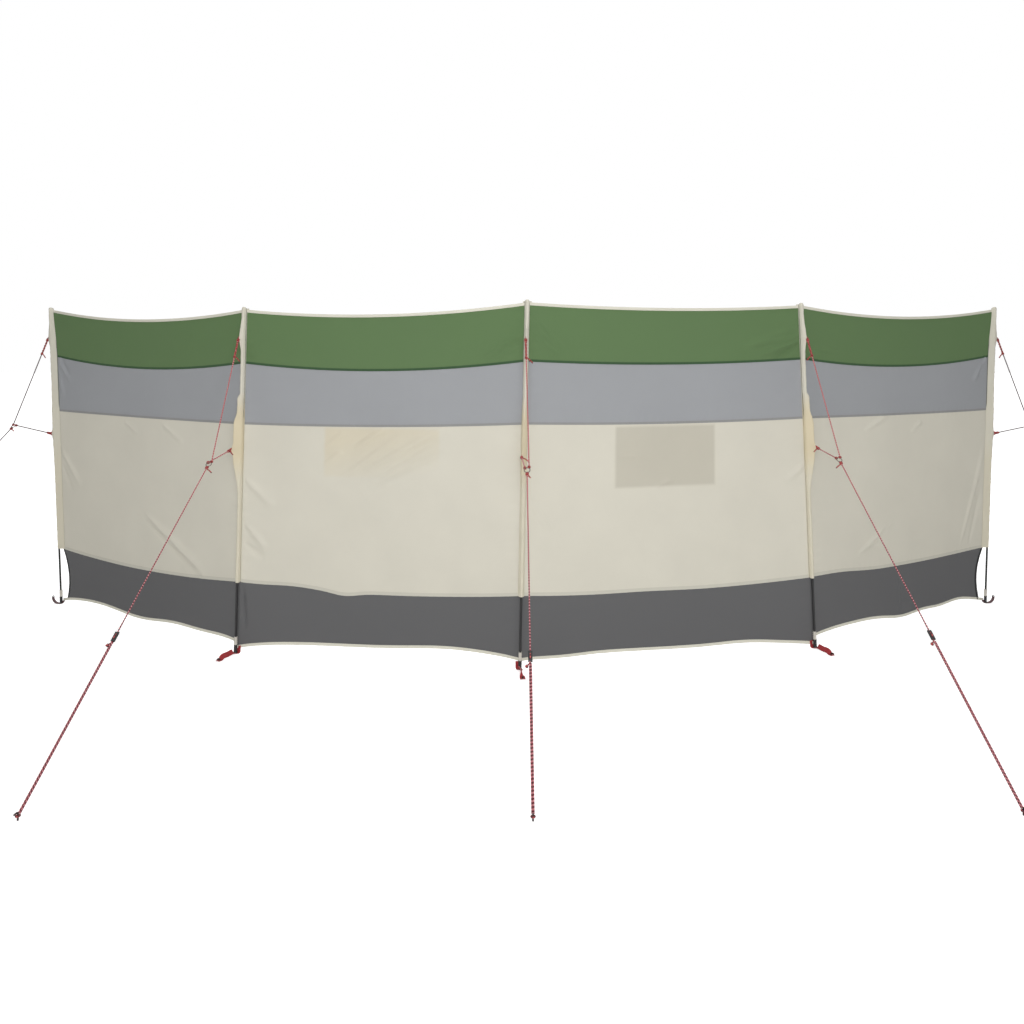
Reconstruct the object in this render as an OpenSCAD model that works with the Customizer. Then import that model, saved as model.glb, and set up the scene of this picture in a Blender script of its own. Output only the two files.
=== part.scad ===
// Beach windbreak: four bays of banded cloth on five sleeved rods, stayed by guy lines.
// Origin: flat foot of the centre rod. +X along the wall, +Y to its sheltered side, +Z up.

/* [Wall] */
// Height from the ground to the tops of the sleeves
wall_h = 1500; // [1300:10:1800]
// Distance from rod to rod along the ground, bay by bay
bay_spans = [1300, 1228, 1310, 1258]; // [1000:1:1600]
// Heading of each bay, turned away from the wall's long direction (degrees)
bay_turns = [-31.7, -8.4, 10.7, 30]; // [-35:0.1:35]
// How far each rod's top leans to the right
lean_right = [-30, 20, 31, -30, 25]; // [-80:1:80]
// How far each rod's top leans back, to the sheltered side
lean_back = [-50, 50, 0, 85, -45]; // [-90:1:90]

/* [Bands] */
// Height of the green top band at a rod
green_h = 233; // [150:1:300]
// Height of the light grey band at a rod
grey_h = 260; // [150:1:350]
// Height of the seam between cream and skirt at a rod
skirt_top = 298; // [220:1:400]
// Height of the bottom edge at the left end of each bay
foot_lefts = [12, 20, 38, 46]; // [10:1:60]
// Height of the bottom edge at the right end of each bay
foot_rights = [47, 38, 14, 12]; // [10:1:60]
// Drop of the cloth's top edge below the top of a sleeve
top_margin = 10; // [6:1:30]
// Thickness of the cloth
cloth_t = 2; // [1:0.5:3]
// Clearance along a seam
seam_gap = 0.3; // [0.2:0.1:0.8]

/* [Drop at each rod] */
// Sleeve top and top edge, below the common height
top_drops = [0, 19, -3, -3, -3]; // [-20:1:40]
// Seam between green and light grey
green_drops = [-5, 15, 1, 0, -4]; // [-20:1:40]
// Seam between light grey and cream
grey_drops = [12, 18, -2, 1, 8]; // [-20:1:40]
// Seam between cream and skirt
cream_drops = [14, -3, 1, -2, 10]; // [-20:1:40]

/* [Sag at the middle of each bay] */
// Top edge
top_sags = [46, 35, 18, 44]; // [0:1:70]
// Seam between green and light grey
green_sags = [45, 37, 18, 43]; // [0:1:70]
// Seam between light grey and cream
grey_sags = [4, 11, 10, 4]; // [0:1:50]
// Seam between cream and skirt
cream_sags = [28, 25, 19, 17]; // [0:1:60]
// Bottom edge, negative where it rises
foot_sags = [-14, -24, -16, -22]; // [-40:1:5]

/* [Hems] */
// Height of the binding along the top and bottom edges
hem_h = 12; // [8:1:20]
// How far the binding stands proud of each face of the cloth
hem_proud = 1; // [0.5:0.5:2]
// Bow of the skirt's free edge beside an end rod
edge_bow = 27; // [0:1:40]
// Distance from an end rod to the skirt's free edge at its top
edge_top_in = 20; // [18:1:40]
// Distance from an end rod to the skirt's free edge at its bottom
edge_foot_in = 38; // [20:1:60]

/* [Rods] */
// Diameter of a rod
rod_d = 9.5; // [8:0.5:14]
// Outer diameter of a foot cap
cap_d = 16; // [15:0.5:24]
// Height of a foot cap
cap_h = 36; // [20:1:50]
// Thickness of a foot cap's floor
cap_floor = 4; // [2:0.5:8]
// Height of the tape loop around a rod above its cap
loop_h = 34; // [20:1:60]
// Thickness of the tape loop
loop_t = 1.8; // [1:0.1:3]

/* [Sleeves] */
// Width of a sleeve with its two stitched wings
sleeve_w = 32; // [26:1:44]
// Thickness of a sleeve's wall
sleeve_t = 2.8; // [1:0.1:4]
// Clearance between a rod and the sleeve, loop or cap around it
rod_clear = 0.3; // [0.1:0.1:0.6]
// Depth of a sleeve's closed top
sleeve_top = 8; // [4:1:15]

/* [Guys] */
// Diameter of the guy cord
cord_d = 4; // [3:0.5:6]
// Height of the upper tabs
upper_tab_z = 1345; // [1200:5:1400]
// Height of the lower tabs
lower_tab_z = 866; // [700:1:1000]
// Distance out to each guy's ring
ring_outs = [270, 267, 276, 293, 270]; // [200:1:400]
// Height of each guy's ring
ring_zs = [894, 842, 853, 852, 894]; // [700:1:1000]
// Distance out to each guy's peg
peg_outs = [1360, 1278, 1087, 1307, 1360]; // [900:1:1800]
// Share of the cord from ring to peg at which its runner sits
runner_shares = [0.58, 0.58, 0.61, 0.59, 0.58]; // [0.2:0.01:0.9]
// Bearing of each guy, from straight out of the wall's front (degrees)
guy_bearings = [-108, -8.8, 1.4, 5.4, 108]; // [-120:0.1:120]
// Bearing that each rod's two tabs stand out at
tab_bearings = [-108, -45, -12, 42, 108]; // [-180:1:180]
// Mean diameter of a ring
ring_d = 22; // [16:1:40]
// Diameter of a ring's wire
ring_wire = 3; // [2:0.5:4]
// Turn round the ring from its far side to each leg
leg_turn = 45; // [20:1:80]
// Length of a runner along its cord
runner_l = 34; // [25:1:50]
// Width of a runner
runner_w = 14; // [10:1:20]
// Thickness of a runner
runner_t = 7; // [6.5:0.5:10]
// Length of a tab from the sleeve to the cord
tab_l = 12; // [8:1:20]
// Width of a tab
tab_w = 9; // [6:1:15]
// Height of a tab
tab_h = 18; // [10:1:30]

/* [Foot straps] */
// Width of the foot webbing
strap_w = 22; // [21:1:30]
// Thickness of the foot webbing
strap_t = 2; // [1.5:0.5:3]
// Length of a pegged strap out from its rod
strap_l = 105; // [60:5:160]
// Bearing of each strap, from straight out of the wall's front (degrees)
strap_bearings = [-90, -24, 6, 23, 90]; // [-120:1:120]
// Radius of the upward curl of an end rod's strap
curl_r = 30; // [20:1:40]

/* [Pegs] */
// Diameter of a peg's wire
peg_d = 5; // [4:0.5:6]
// Height of a guy peg's hook above the ground
guy_peg_h = 26; // [20:1:40]
// Height of a strap peg's hook above the ground
strap_peg_h = 13; // [10:1:20]
// Length of a peg's hook
hook_l = 15; // [10:1:25]

/* [Storage pockets] */
// Bays that have a pocket on their sheltered side, counted from 0
pocket_bays = [1, 2]; // [0:1:3]
// Width of each pocket
pocket_ws = [500, 450]; // [300:10:700]
// Depth of each pocket
pocket_hs = [205, 255]; // [120:5:320]
// Distance from the bay's left rod to each pocket
pocket_xs = [380, 395]; // [200:5:500]
// Drop of a pocket's mouth below the seam above it
pocket_drop = 12; // [4:1:40]

/* [Hidden] */
$fn = 48;

bays = len(bay_spans);
poles = bays + 1;
centre = 2;
steps = 12;
half_turn = 180;

rod_r = rod_d / 2;
bore_r = rod_r + rod_clear;
sleeve_r = bore_r + sleeve_t;
cap_r = cap_d / 2;
half_sleeve = sleeve_w / 2;
// The cloth hangs just behind the sleeves, and its hems behind the tape loops
cloth_y = bore_r + max(sleeve_t, loop_t + hem_proud) + seam_gap;
cloth_back = cloth_y + cloth_t;

// The five edges of the cloth, from the top down
TOP = 0;
GREEN = 1;
GREY = 2;
CREAM = 3;
FOOT = 4;
top_z = wall_h - top_margin;
levels = [top_z, top_z - green_h, top_z - green_h - grey_h, skirt_top];
drops = [top_drops, green_drops, grey_drops, cream_drops];
sags = [top_sags, green_sags, grey_sags, cream_sags, foot_sags];

function unit(v) = v / norm(v);
function tilt(i) = norm([lean_right[i], lean_back[i]]) / wall_h;
// Distance along leaning rod i that reaches height z
function up_rod(i, z) = z * norm([lean_right[i], lean_back[i], wall_h]) / wall_h;
function is_end(i) = i == 0 || i == poles - 1;

// Place of each rod's foot in plan, and the point of its axis at height z
function along(turn) = [cos(turn), sin(turn)];
function foot_xy(i) =
    i == centre ? [0, 0]
    : i > centre ? foot_xy(i - 1) + bay_spans[i - 1] * along(bay_turns[i - 1])
    : foot_xy(i + 1) - bay_spans[i] * along(bay_turns[i]);
function rod_xy(i, z) = foot_xy(i) + [lean_right[i], lean_back[i]] * z / wall_h;

// Height of an edge of bay b at its left (0) or right (1) end, and at a share u between
function end_z(edge, b, end) =
    edge == FOOT ? (end == 0 ? foot_lefts[b] : foot_rights[b])
    : levels[edge] - drops[edge][b + end];
function edge_z(edge, b, u) =
    end_z(edge, b, 0) * (1 - u) + end_z(edge, b, 1) * u - 4 * sags[edge][b] * u * (1 - u);

// Point of bay b: x along from its left rod, y back from the rods' plane, height z
function cloth_point(b, x, z, y) =
    let (a = rod_xy(b, z), d = unit(rod_xy(b + 1, z) - a))
    [a[0] + x * d[0] - y * d[1], a[1] + x * d[1] + y * d[0], z];
function span_at(b, z) = norm(rod_xy(b + 1, z) - rod_xy(b, z));

// The bays beside rod i, and half of the bend that the wall makes there at height z
function beside(i) = [max(i - 1, 0), min(i, bays - 1)];
function heading(b, z) = let (v = rod_xy(b + 1, z) - rod_xy(b, z)) atan2(v[1], v[0]);
function half_bend(i, z) = abs(heading(beside(i)[1], z) - heading(beside(i)[0], z)) / 2;
// Gap beside an inner rod that lets two layers meet behind it, back to depth y
function behind(i, y) =
    y * tan(max(half_bend(i, 0), half_bend(i, wall_h))) + seam_gap / 2;

// Moves its children from an upright rod at the origin to rod i, leaning as it leans
module on_rod(i) {
    axis = [lean_right[i], lean_back[i], wall_h];
    translate(concat(foot_xy(i), 0))
        rotate(a = acos(axis[2] / norm(axis)), v = cross([0, 0, 1], axis)) children();
}

// A layer of bay b between depths y0 and y1, from rows of [x, z] points, lowest row first
module layer(b, grid, y0, y1) {
    rows = len(grid);
    cols = len(grid[0]);
    n = rows * cols;
    points = [for (y = [y0, y1], row = grid, p = row) cloth_point(b, p[0], p[1], y)];
    function at(r, c) = r * cols + c;
    face = [for (r = [0 : rows - 2], c = [0 : cols - 2], half = [0, 1])
        half == 0 ? [at(r, c), at(r + 1, c), at(r + 1, c + 1)]
        : [at(r, c), at(r + 1, c + 1), at(r, c + 1)]];
    rim = concat(
        [for (c = [0 : cols - 1]) at(0, c)],
        [for (r = [1 : rows - 1]) at(r, cols - 1)],
        [for (c = [cols - 2 : -1 : 0]) at(rows - 1, c)],
        [for (r = [rows - 2 : -1 : 1]) at(r, 0)]);
    edge = [for (k = [0 : len(rim) - 1], half = [0, 1])
        let (p = rim[k], q = rim[(k + 1) % len(rim)])
        half == 0 ? [p, q, q + n] : [p, q + n, p + n]];
    back = [for (t = face) [t[0] + n, t[2] + n, t[1] + n]];
    polyhedron(points, concat(face, back, edge));
}

// Rows of points between two edges of bay b, inset along the edges by high and low,
// and at the bay's ends by in0s and in1s, one value for each row from the lowest up
function strip(b, high_edge, high, low_edge, low, in0s, in1s) =
    let (rows = len(in0s) - 1)
    [for (r = [0 : rows]) [for (k = [0 : steps])
        let (u = (in0s[r] + (bay_spans[b] - in0s[r] - in1s[r]) * k / steps) / bay_spans[b],
             z = (edge_z(low_edge, b, u) + low) * (1 - r / rows)
                 + (edge_z(high_edge, b, u) - high) * r / rows)
        [in0s[r] + (span_at(b, z) - in0s[r] - in1s[r]) * k / steps, z]]];
function even(value, rows) = [for (r = [0 : rows]) value];

module cloth_band(b, high_edge, high, low_edge, low, rows = 1) {
    inset = even(half_sleeve + seam_gap, rows);
    layer(b, strip(b, high_edge, high, low_edge, low, inset, inset), cloth_y, cloth_back);
}

module pole(i) {
    high = up_rod(i, wall_h - top_drops[i]) - sleeve_top - rod_clear;
    color("dimgray") on_rod(i) translate([0, 0, cap_floor])
        cylinder(h = high - cap_floor, d = rod_d);
}

module foot_caps() {
    color("black") for (i = [0 : poles - 1]) on_rod(i) difference() {
        cylinder(h = cap_h, r = cap_r);
        translate([0, 0, cap_floor]) cylinder(h = cap_h, r = bore_r);
    }
}

module tape_loops() {
    color("ivory") for (i = [0 : poles - 1]) on_rod(i)
        translate([0, 0, cap_h + seam_gap]) difference() {
            cylinder(h = loop_h, r = bore_r + loop_t);
            translate([0, 0, -1]) cylinder(h = loop_h + 2, r = bore_r);
        }
}

// Tube around the rod, closed on top, and the strip of each bay that it is stitched to
module sleeve(i) {
    low = levels[CREAM] - drops[CREAM][i];
    high = wall_h - top_drops[i];
    tube_high = up_rod(i, high);
    color("beige") {
        on_rod(i) difference() {
            translate([0, 0, up_rod(i, low)])
                cylinder(h = tube_high - up_rod(i, low), r = sleeve_r);
            cylinder(h = tube_high - sleeve_top, r = bore_r);
        }
        wing_in = behind(i, cloth_back);
        if (i > 0) wing(i - 1, low, high - top_margin, -half_sleeve, -wing_in);
        if (i < poles - 1) wing(i, low, high - top_margin, wing_in, half_sleeve);
    }
}

// Strip of bay b from x0 to x1, measured from its right rod where they are negative
module wing(b, low, high, x0, x1) {
    layer(b, [for (z = [low, high]) [for (x = [x0, x1]) [x < 0 ? span_at(b, z) + x : x, z]]],
          cloth_y, cloth_back);
}

module green_band(b) {
    color("olivedrab") cloth_band(b, TOP, hem_h + seam_gap, GREEN, seam_gap / 2);
}

module grey_band(b) {
    color("darkgray") cloth_band(b, GREEN, seam_gap / 2, GREY, seam_gap / 2);
}

module cream_panel(b) {
    color("cornsilk") cloth_band(b, GREY, seam_gap / 2, CREAM, seam_gap / 2, steps / 2);
}

// Distance from the end rod to the skirt's free edge, at a share v up the skirt
function free_edge(v) = edge_foot_in * (1 - v) + edge_top_in * v + 4 * edge_bow * v * (1 - v);

module skirt(b) {
    rows = is_end(b) || is_end(b + 1) ? steps : 1;
    bow = [for (r = [0 : rows]) free_edge(r / rows)];
    color("slategray")
        layer(b, strip(b, CREAM, seam_gap / 2, FOOT, hem_h + seam_gap,
                       b == 0 ? bow : even(behind(b, cloth_back), rows),
                       b == bays - 1 ? bow : even(behind(b + 1, cloth_back), rows)),
              cloth_y, cloth_back);
}

module top_hems() {
    inset = even(half_sleeve + seam_gap, 1);
    color("ivory") for (b = [0 : bays - 1])
        layer(b, strip(b, TOP, 0, TOP, -hem_h, inset, inset),
              cloth_y - hem_proud, cloth_back + hem_proud);
}

// The bottom binding stops beside a foot cap, and runs behind a rod above its cap
function hem_in(b, end) =
    is_end(b + end) || end_z(FOOT, b, end) < cap_h + 1 ? cap_r
    : behind(b + end, cloth_back + hem_proud);

module bottom_hems() {
    color("ivory") for (b = [0 : bays - 1])
        layer(b, strip(b, FOOT, -hem_h, FOOT, 0, even(hem_in(b, 0), 1), even(hem_in(b, 1), 1)),
              cloth_y - hem_proud, cloth_back + hem_proud);
}

// Direction of a bearing in plan: 0 is straight out of the wall's front
function out_dir(bearing) = [sin(bearing), -cos(bearing), 0];
function out_from(i, bearing, out, z) = concat(rod_xy(i, z), z) + out * out_dir(bearing);
// A tab stands upright beside its leaning sleeve
function tab_in(i) = sleeve_r + seam_gap + tab_h / 2 * tilt(i);
function tab_end(i, z) = out_from(i, tab_bearings[i], tab_in(i) + tab_l, z);
function ring_at(i) = out_from(i, guy_bearings[i], ring_outs[i], ring_zs[i]);
function peg_at(i) = out_from(i, guy_bearings[i], peg_outs[i], 0);
function cord_foot(i) = peg_at(i) + [0, 0, guy_peg_h / 2] - peg_d / 2 * out_dir(guy_bearings[i]);
// How far along v a cord starts, so that its square end clears a face that looks along n
function end_clear(v, n) = (cord_d / 2 * sqrt(1 - pow(v * n, 2)) + seam_gap) / abs(v * n);
// The main cord's direction, and a direction in the ring's plane, turned from the ring's
// far side by an angle: the ring lies along its main cord and square to the guy
function main_way(i) = unit(cord_foot(i) - ring_at(i));
function ring_way(i, turn) =
    sin(turn) * concat(along(guy_bearings[i]), 0) - cos(turn) * main_way(i);
// Where a leg ends beside the ring, so that its square end clears the wire
function leg_foot(i, z, turn) =
    let (out = ring_way(i, turn),
         skew = norm(cross(unit(tab_end(i, z) - ring_at(i)), out)))
    ring_at(i) + out * (ring_d / 2 + ring_wire / 2 + seam_gap + cord_d / 2 * skew);

// Straight round bar from a to c
module bar(a, c, d) {
    v = c - a;
    translate(a) rotate([0, acos(v[2] / norm(v)), atan2(v[1], v[0])])
        cylinder(h = norm(v), d = d);
}

// Two legs from the rod to the ring and one cord from the ring to the peg
module guy(i) {
    stop = ring_d / 2 + ring_wire / 2 + seam_gap;
    main = main_way(i);
    color("indianred") {
        for (leg = [[upper_tab_z, leg_turn], [lower_tab_z, -leg_turn]]) {
            foot = leg_foot(i, leg[0], leg[1]);
            way = unit(foot - tab_end(i, leg[0]));
            bar(tab_end(i, leg[0]) + way * end_clear(way, out_dir(tab_bearings[i])),
                foot, cord_d);
        }
        bar(ring_at(i) + main * stop,
            cord_foot(i) - main * end_clear(main, out_dir(guy_bearings[i])), cord_d);
    }
}

module guy_tabs() {
    color("firebrick") for (i = [0 : poles - 1], z = [upper_tab_z, lower_tab_z])
        translate(concat(rod_xy(i, z), z)) rotate([0, 0, tab_bearings[i]])
            translate([-tab_w / 2, -tab_in(i) - tab_l, -tab_h / 2])
                cube([tab_w, tab_l, tab_h]);
}

module guy_rings() {
    color("gray") for (i = [0 : poles - 1])
        translate(ring_at(i))
            rotate([acos(norm([main_way(i)[0], main_way(i)[1]])), 0, guy_bearings[i]])
            rotate_extrude() translate([ring_d / 2, 0]) circle(d = ring_wire, $fn = 24);
}

module guy_runners() {
    color("black") for (i = [0 : poles - 1]) {
        v = cord_foot(i) - ring_at(i);
        translate(ring_at(i) + v * runner_shares[i])
            rotate([0, acos(v[2] / norm(v)), atan2(v[1], v[0])]) difference() {
                cube([runner_t, runner_w, runner_l], center = true);
                cylinder(h = runner_l + 2, d = cord_d + 2 * rod_clear, center = true);
            }
    }
}

// Height of the lower bottom edge beside the foot cap of rod i
function hem_low(i) = min([for (b = beside(i))
    edge_z(FOOT, b, b < i ? 1 - cap_r / bay_spans[b] : cap_r / bay_spans[b])]);

// Webbing with an eyelet around the cap, a leg up to the hem and a tail out to its peg
module foot_straps() {
    color("firebrick") for (i = [0 : poles - 1]) {
        leg_in = cap_r + rod_clear + seam_gap + min(cap_h, hem_low(i)) * tilt(i);
        flat_in = leg_in + strap_t;
        flat_out = is_end(i) ? flat_in : strap_l;
        translate(concat(foot_xy(i), 0)) rotate([0, 0, strap_bearings[i]]) difference() {
            union() {
                translate([-strap_w / 2, -flat_out, 0])
                    cube([strap_w, flat_in + flat_out, strap_t]);
                translate([-strap_w / 2, leg_in, 0])
                    cube([strap_w, strap_t, hem_low(i) - seam_gap]);
                if (is_end(i)) strap_curl(flat_out);
            }
            translate([0, 0, -1]) cylinder(h = cap_h, r = cap_r + rod_clear);
            if (!is_end(i)) translate([0, -strap_l + strap_w / 2, -1])
                cylinder(h = strap_t + 2, r = peg_d / 2 + rod_clear);
        }
    }
}

// Quarter turn upwards at the end of an end rod's strap
module strap_curl(out) {
    translate([-strap_w / 2, -out, curl_r]) rotate([90, 0, 90]) rotate([0, 0, half_turn])
        linear_extrude(height = strap_w) difference() {
            intersection() {
                circle(r = curl_r);
                square([curl_r, curl_r]);
            }
            circle(r = curl_r - strap_t);
        }
}

// Bent wire peg, from the ground up, its hook turned away from the wall
module peg(place, bearing, height) {
    translate(place) rotate([0, 0, bearing]) {
        cylinder(h = height - peg_d / 2, d = peg_d);
        translate([0, 0, height - peg_d / 2]) {
            sphere(d = peg_d);
            rotate([90, 0, 0]) cylinder(h = hook_l, d = peg_d);
        }
    }
}

module ground_pegs() {
    color("dimgray") {
        for (i = [0 : poles - 1])
            peg(peg_at(i) + seam_gap * out_dir(guy_bearings[i]), guy_bearings[i], guy_peg_h);
        for (i = [1 : poles - 2])
            peg(out_from(i, strap_bearings[i], strap_l - strap_w / 2, 0),
                strap_bearings[i], strap_peg_h);
    }
}

module storage_pockets() {
    y = cloth_back + 2 * seam_gap;
    rows = steps / 4;
    cols = steps / 2;
    color("khaki") for (k = [0 : len(pocket_bays) - 1]) {
        b = pocket_bays[k];
        low = edge_z(GREY, b, 0.5) - pocket_drop - pocket_hs[k];
        layer(b, [for (r = [0 : rows]) [for (c = [0 : cols])
                  [pocket_xs[k] + pocket_ws[k] * c / cols, low + pocket_hs[k] * r / rows]]],
              y, y + cloth_t);
    }
}

pole(0);  // pole_1
pole(1);  // pole_2
pole(2);  // pole_3
pole(3);  // pole_4
pole(4);  // pole_5
foot_caps();
tape_loops();
sleeve(0);  // sleeve_1
sleeve(1);  // sleeve_2
sleeve(2);  // sleeve_3
sleeve(3);  // sleeve_4
sleeve(4);  // sleeve_5
green_band(0);  // green_band_1
green_band(1);  // green_band_2
green_band(2);  // green_band_3
green_band(3);  // green_band_4
grey_band(0);  // grey_band_1
grey_band(1);  // grey_band_2
grey_band(2);  // grey_band_3
grey_band(3);  // grey_band_4
cream_panel(0);  // cream_panel_1
cream_panel(1);  // cream_panel_2
cream_panel(2);  // cream_panel_3
cream_panel(3);  // cream_panel_4
skirt(0);  // skirt_1
skirt(1);  // skirt_2
skirt(2);  // skirt_3
skirt(3);  // skirt_4
top_hems();
bottom_hems();
guy(0);  // guy_1
guy(1);  // guy_2
guy(2);  // guy_3
guy(3);  // guy_4
guy(4);  // guy_5
guy_tabs();
guy_rings();
guy_runners();
foot_straps();
ground_pegs();
storage_pockets();
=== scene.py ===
import math

import bpy
import numpy as np
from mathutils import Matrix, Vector


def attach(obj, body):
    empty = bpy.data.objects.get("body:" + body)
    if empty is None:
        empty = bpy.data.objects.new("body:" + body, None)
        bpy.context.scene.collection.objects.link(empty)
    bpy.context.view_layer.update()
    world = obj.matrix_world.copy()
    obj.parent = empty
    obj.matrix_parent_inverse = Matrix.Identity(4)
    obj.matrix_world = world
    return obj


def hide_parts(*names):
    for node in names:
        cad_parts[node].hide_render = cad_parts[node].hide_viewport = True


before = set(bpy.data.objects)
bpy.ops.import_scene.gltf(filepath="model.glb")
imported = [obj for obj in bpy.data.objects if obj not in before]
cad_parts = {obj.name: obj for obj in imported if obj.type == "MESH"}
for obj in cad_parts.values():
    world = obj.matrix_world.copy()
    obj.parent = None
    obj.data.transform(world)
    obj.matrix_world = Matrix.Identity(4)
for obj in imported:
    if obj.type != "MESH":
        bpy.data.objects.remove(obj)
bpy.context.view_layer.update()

# Rods ------------------------------------------------------------------------------------
# Five glass-fibre rods stand along the wall, each leaning a little its own way. They are
# pulled through a die and painted satin black, so fine scratches run along them. The bays
# of cloth hang between them, so every place on the wall is measured from their axes.
RODS = 5
BAYS = RODS - 1
WALL_H = 1.5
ROD_R = 0.00475


def material_of(name, roughness, metallic=0.0, sheen=0.0, coat=0.0):
    """A new material and its Principled shader."""
    made = bpy.data.materials.new(name)
    made.use_nodes = True
    shader = made.node_tree.nodes["Principled BSDF"]
    shader.inputs["Roughness"].default_value = roughness
    shader.inputs["Metallic"].default_value = metallic
    shader.inputs["Sheen Weight"].default_value = sheen
    shader.inputs["Coat Weight"].default_value = coat
    return made, shader


def put(socket, value):
    """Gives an input another node's output, or a plain value."""
    if isinstance(value, bpy.types.NodeSocket):
        socket.id_data.links.new(value, socket)
    else:
        socket.default_value = value


def add_node(tree, kind, **settings):
    """A node of that kind: settings are properties, or inputs by name with _ for a space."""
    node = tree.nodes.new(kind)
    for key, value in settings.items():
        if hasattr(node, key):
            setattr(node, key, value)
        else:
            put(node.inputs[key.replace("_", " ")], value)
    return node


def feed(node, **values):
    """Gives values to a node's inputs, by name with _ for a space."""
    for key, value in values.items():
        put(node.inputs[key.replace("_", " ")], value)


def reckon(tree, operation, *values):
    """The result of a Math node."""
    node = add_node(tree, "ShaderNodeMath", operation=operation)
    for socket, value in zip(node.inputs, values):
        put(socket, value)
    return node.outputs[0]


def mixed(tree, share, first, second, blend="MIX"):
    """A mix of two colours."""
    node = add_node(tree, "ShaderNodeMix", data_type="RGBA", blend_type=blend)
    for k, value in ((0, share), (6, first), (7, second)):
        put(node.inputs[k], value)
    return node.outputs[2]


def object_place(tree):
    return add_node(tree, "ShaderNodeTexCoord").outputs["Object"]


def noise(tree, place, scale, detail=3.0, roughness=0.5):
    return add_node(tree, "ShaderNodeTexNoise", Vector=place, Scale=scale, Detail=detail,
                    Roughness=roughness).outputs["Fac"]


def ramp(tree, value, *stops):
    """Colours or greys that a value runs through: each stop is (place, colour)."""
    node = add_node(tree, "ShaderNodeValToRGB", Fac=value)
    points = node.color_ramp.elements
    while len(points) < len(stops):
        points.new(0.5)
    for point, (place, colour) in zip(points, stops):
        point.position = place
        point.color = (*colour, 1) if hasattr(colour, "__len__") else (colour, colour, colour, 1)
    return node.outputs["Color"]


def linear(red, green, blue):
    """A colour written from 0 to 255, as the shader wants it."""
    return tuple(((c / 255 + 0.055) / 1.055) ** 2.4 if c > 10 else c / 3295
                 for c in (red, green, blue))


def bump(tree, height, distance, strength=1.0):
    return add_node(tree, "ShaderNodeBump", Height=height, Distance=distance,
                    Strength=strength).outputs["Normal"]


def rod_finish():
    made, shader = material_of("rod_black", 0.42, coat=0.15)
    tree = made.node_tree
    drawn = add_node(tree, "ShaderNodeMapping", Vector=object_place(tree), Scale=(900, 900, 6))
    streak = noise(tree, drawn.outputs[0], 1.0)
    feed(shader, Normal=bump(tree, streak, 0.0002, 0.4),
         Base_Color=ramp(tree, streak, (0.3, linear(11, 11, 12)), (0.75, linear(24, 24, 26))),
         Roughness=ramp(tree, streak, (0.2, 0.34), (0.8, 0.55)))
    return made


def rod_axis(node):
    """The middles of a rod's two ends."""
    points = np.array([v.co for v in node.data.vertices])
    upper = points[:, 2] > points[:, 2].mean()
    return points[~upper].mean(0), points[upper].mean(0)


def is_end(i):
    return i in (0, RODS - 1)


def painted(node, material):
    """Gives one of the model's own nodes its material."""
    node.data.materials.clear()
    node.data.materials.append(material)


rod_material = rod_finish()
axes = []
for i in range(RODS):
    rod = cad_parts[f"pole_{i + 1}"]
    axes.append(rod_axis(rod))
    painted(rod, rod_material)


def rod_xy(i, z):
    """Where the axis of rod i is in plan at height z, which may be an array."""
    low, high = axes[i]
    share = (np.asarray(z) - low[2]) / (high[2] - low[2])
    return low[:2] + share[..., None] * (high[:2] - low[:2])


def rod_point(i, z):
    return np.append(rod_xy(i, z), z)


# Cloth wall ------------------------------------------------------------------------------
# Each bay is four bands of coated polyester, sewn edge to edge: green, light grey, cream
# and a dark grey skirt. The rods stretch it, so its edges sag between them, the cloth has
# a slight belly, and folds run out from where the rods, guys and seams pull on it.
CLOTH_T = 0.0008
CLOTH_BACK = 0.0092
HALF_SLEEVE = 0.016
HEM_H = 0.012
CLOTH_STEP = 0.0066
# How far from a rod the cloth lies flat under its sleeve, and where folds are full again
END_CALM, INNER_CALM, CALM_FADE = 0.034, 0.014, 0.02
TOP, GREEN, GREY, CREAM, FOOT = range(5)
TOP_Z = WALL_H - 0.010
LEVELS = [TOP_Z, TOP_Z - 0.233, TOP_Z - 0.493, 0.298]
DROPS = [[0, 0.019, -0.003, -0.003, -0.003], [-0.005, 0.015, 0.001, 0, -0.004],
         [0.012, 0.018, -0.002, 0.001, 0.008], [0.014, -0.003, 0.001, -0.002, 0.010]]
SAGS = [[0.046, 0.035, 0.018, 0.044], [0.045, 0.037, 0.018, 0.043],
        [0.004, 0.011, 0.010, 0.004], [0.028, 0.025, 0.019, 0.017]]
FOOT_LEFT = [0.012, 0.018, 0.032, 0.044]
FOOT_RIGHT = [0.046, 0.030, 0.012, 0.010]
FOOT_LIFT = [0.030, 0.027, 0.014, 0.024]
# Where an edge rises or dips out of its sweep: (share along the bay, by how much, width)
SWELLS = {(CREAM, 1): [(0.20, 0.009, 0.10), (0.39, -0.013, 0.06)],
          (CREAM, 2): [(0.42, 0.005, 0.15)],
          (CREAM, 3): [(0.15, 0.010, 0.13)],
          (FOOT, 0): [(0.50, -0.027, 0.17), (0.76, -0.004, 0.11), (0.84, -0.014, 0.14)],
          (FOOT, 1): [(0.74, 0.009, 0.15)],
          (FOOT, 2): [(0.13, -0.008, 0.10), (0.76, 0.009, 0.12)],
          (FOOT, 3): [(0.48, -0.020, 0.11), (0.70, -0.007, 0.08), (0.84, 0.010, 0.09)]}
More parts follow.
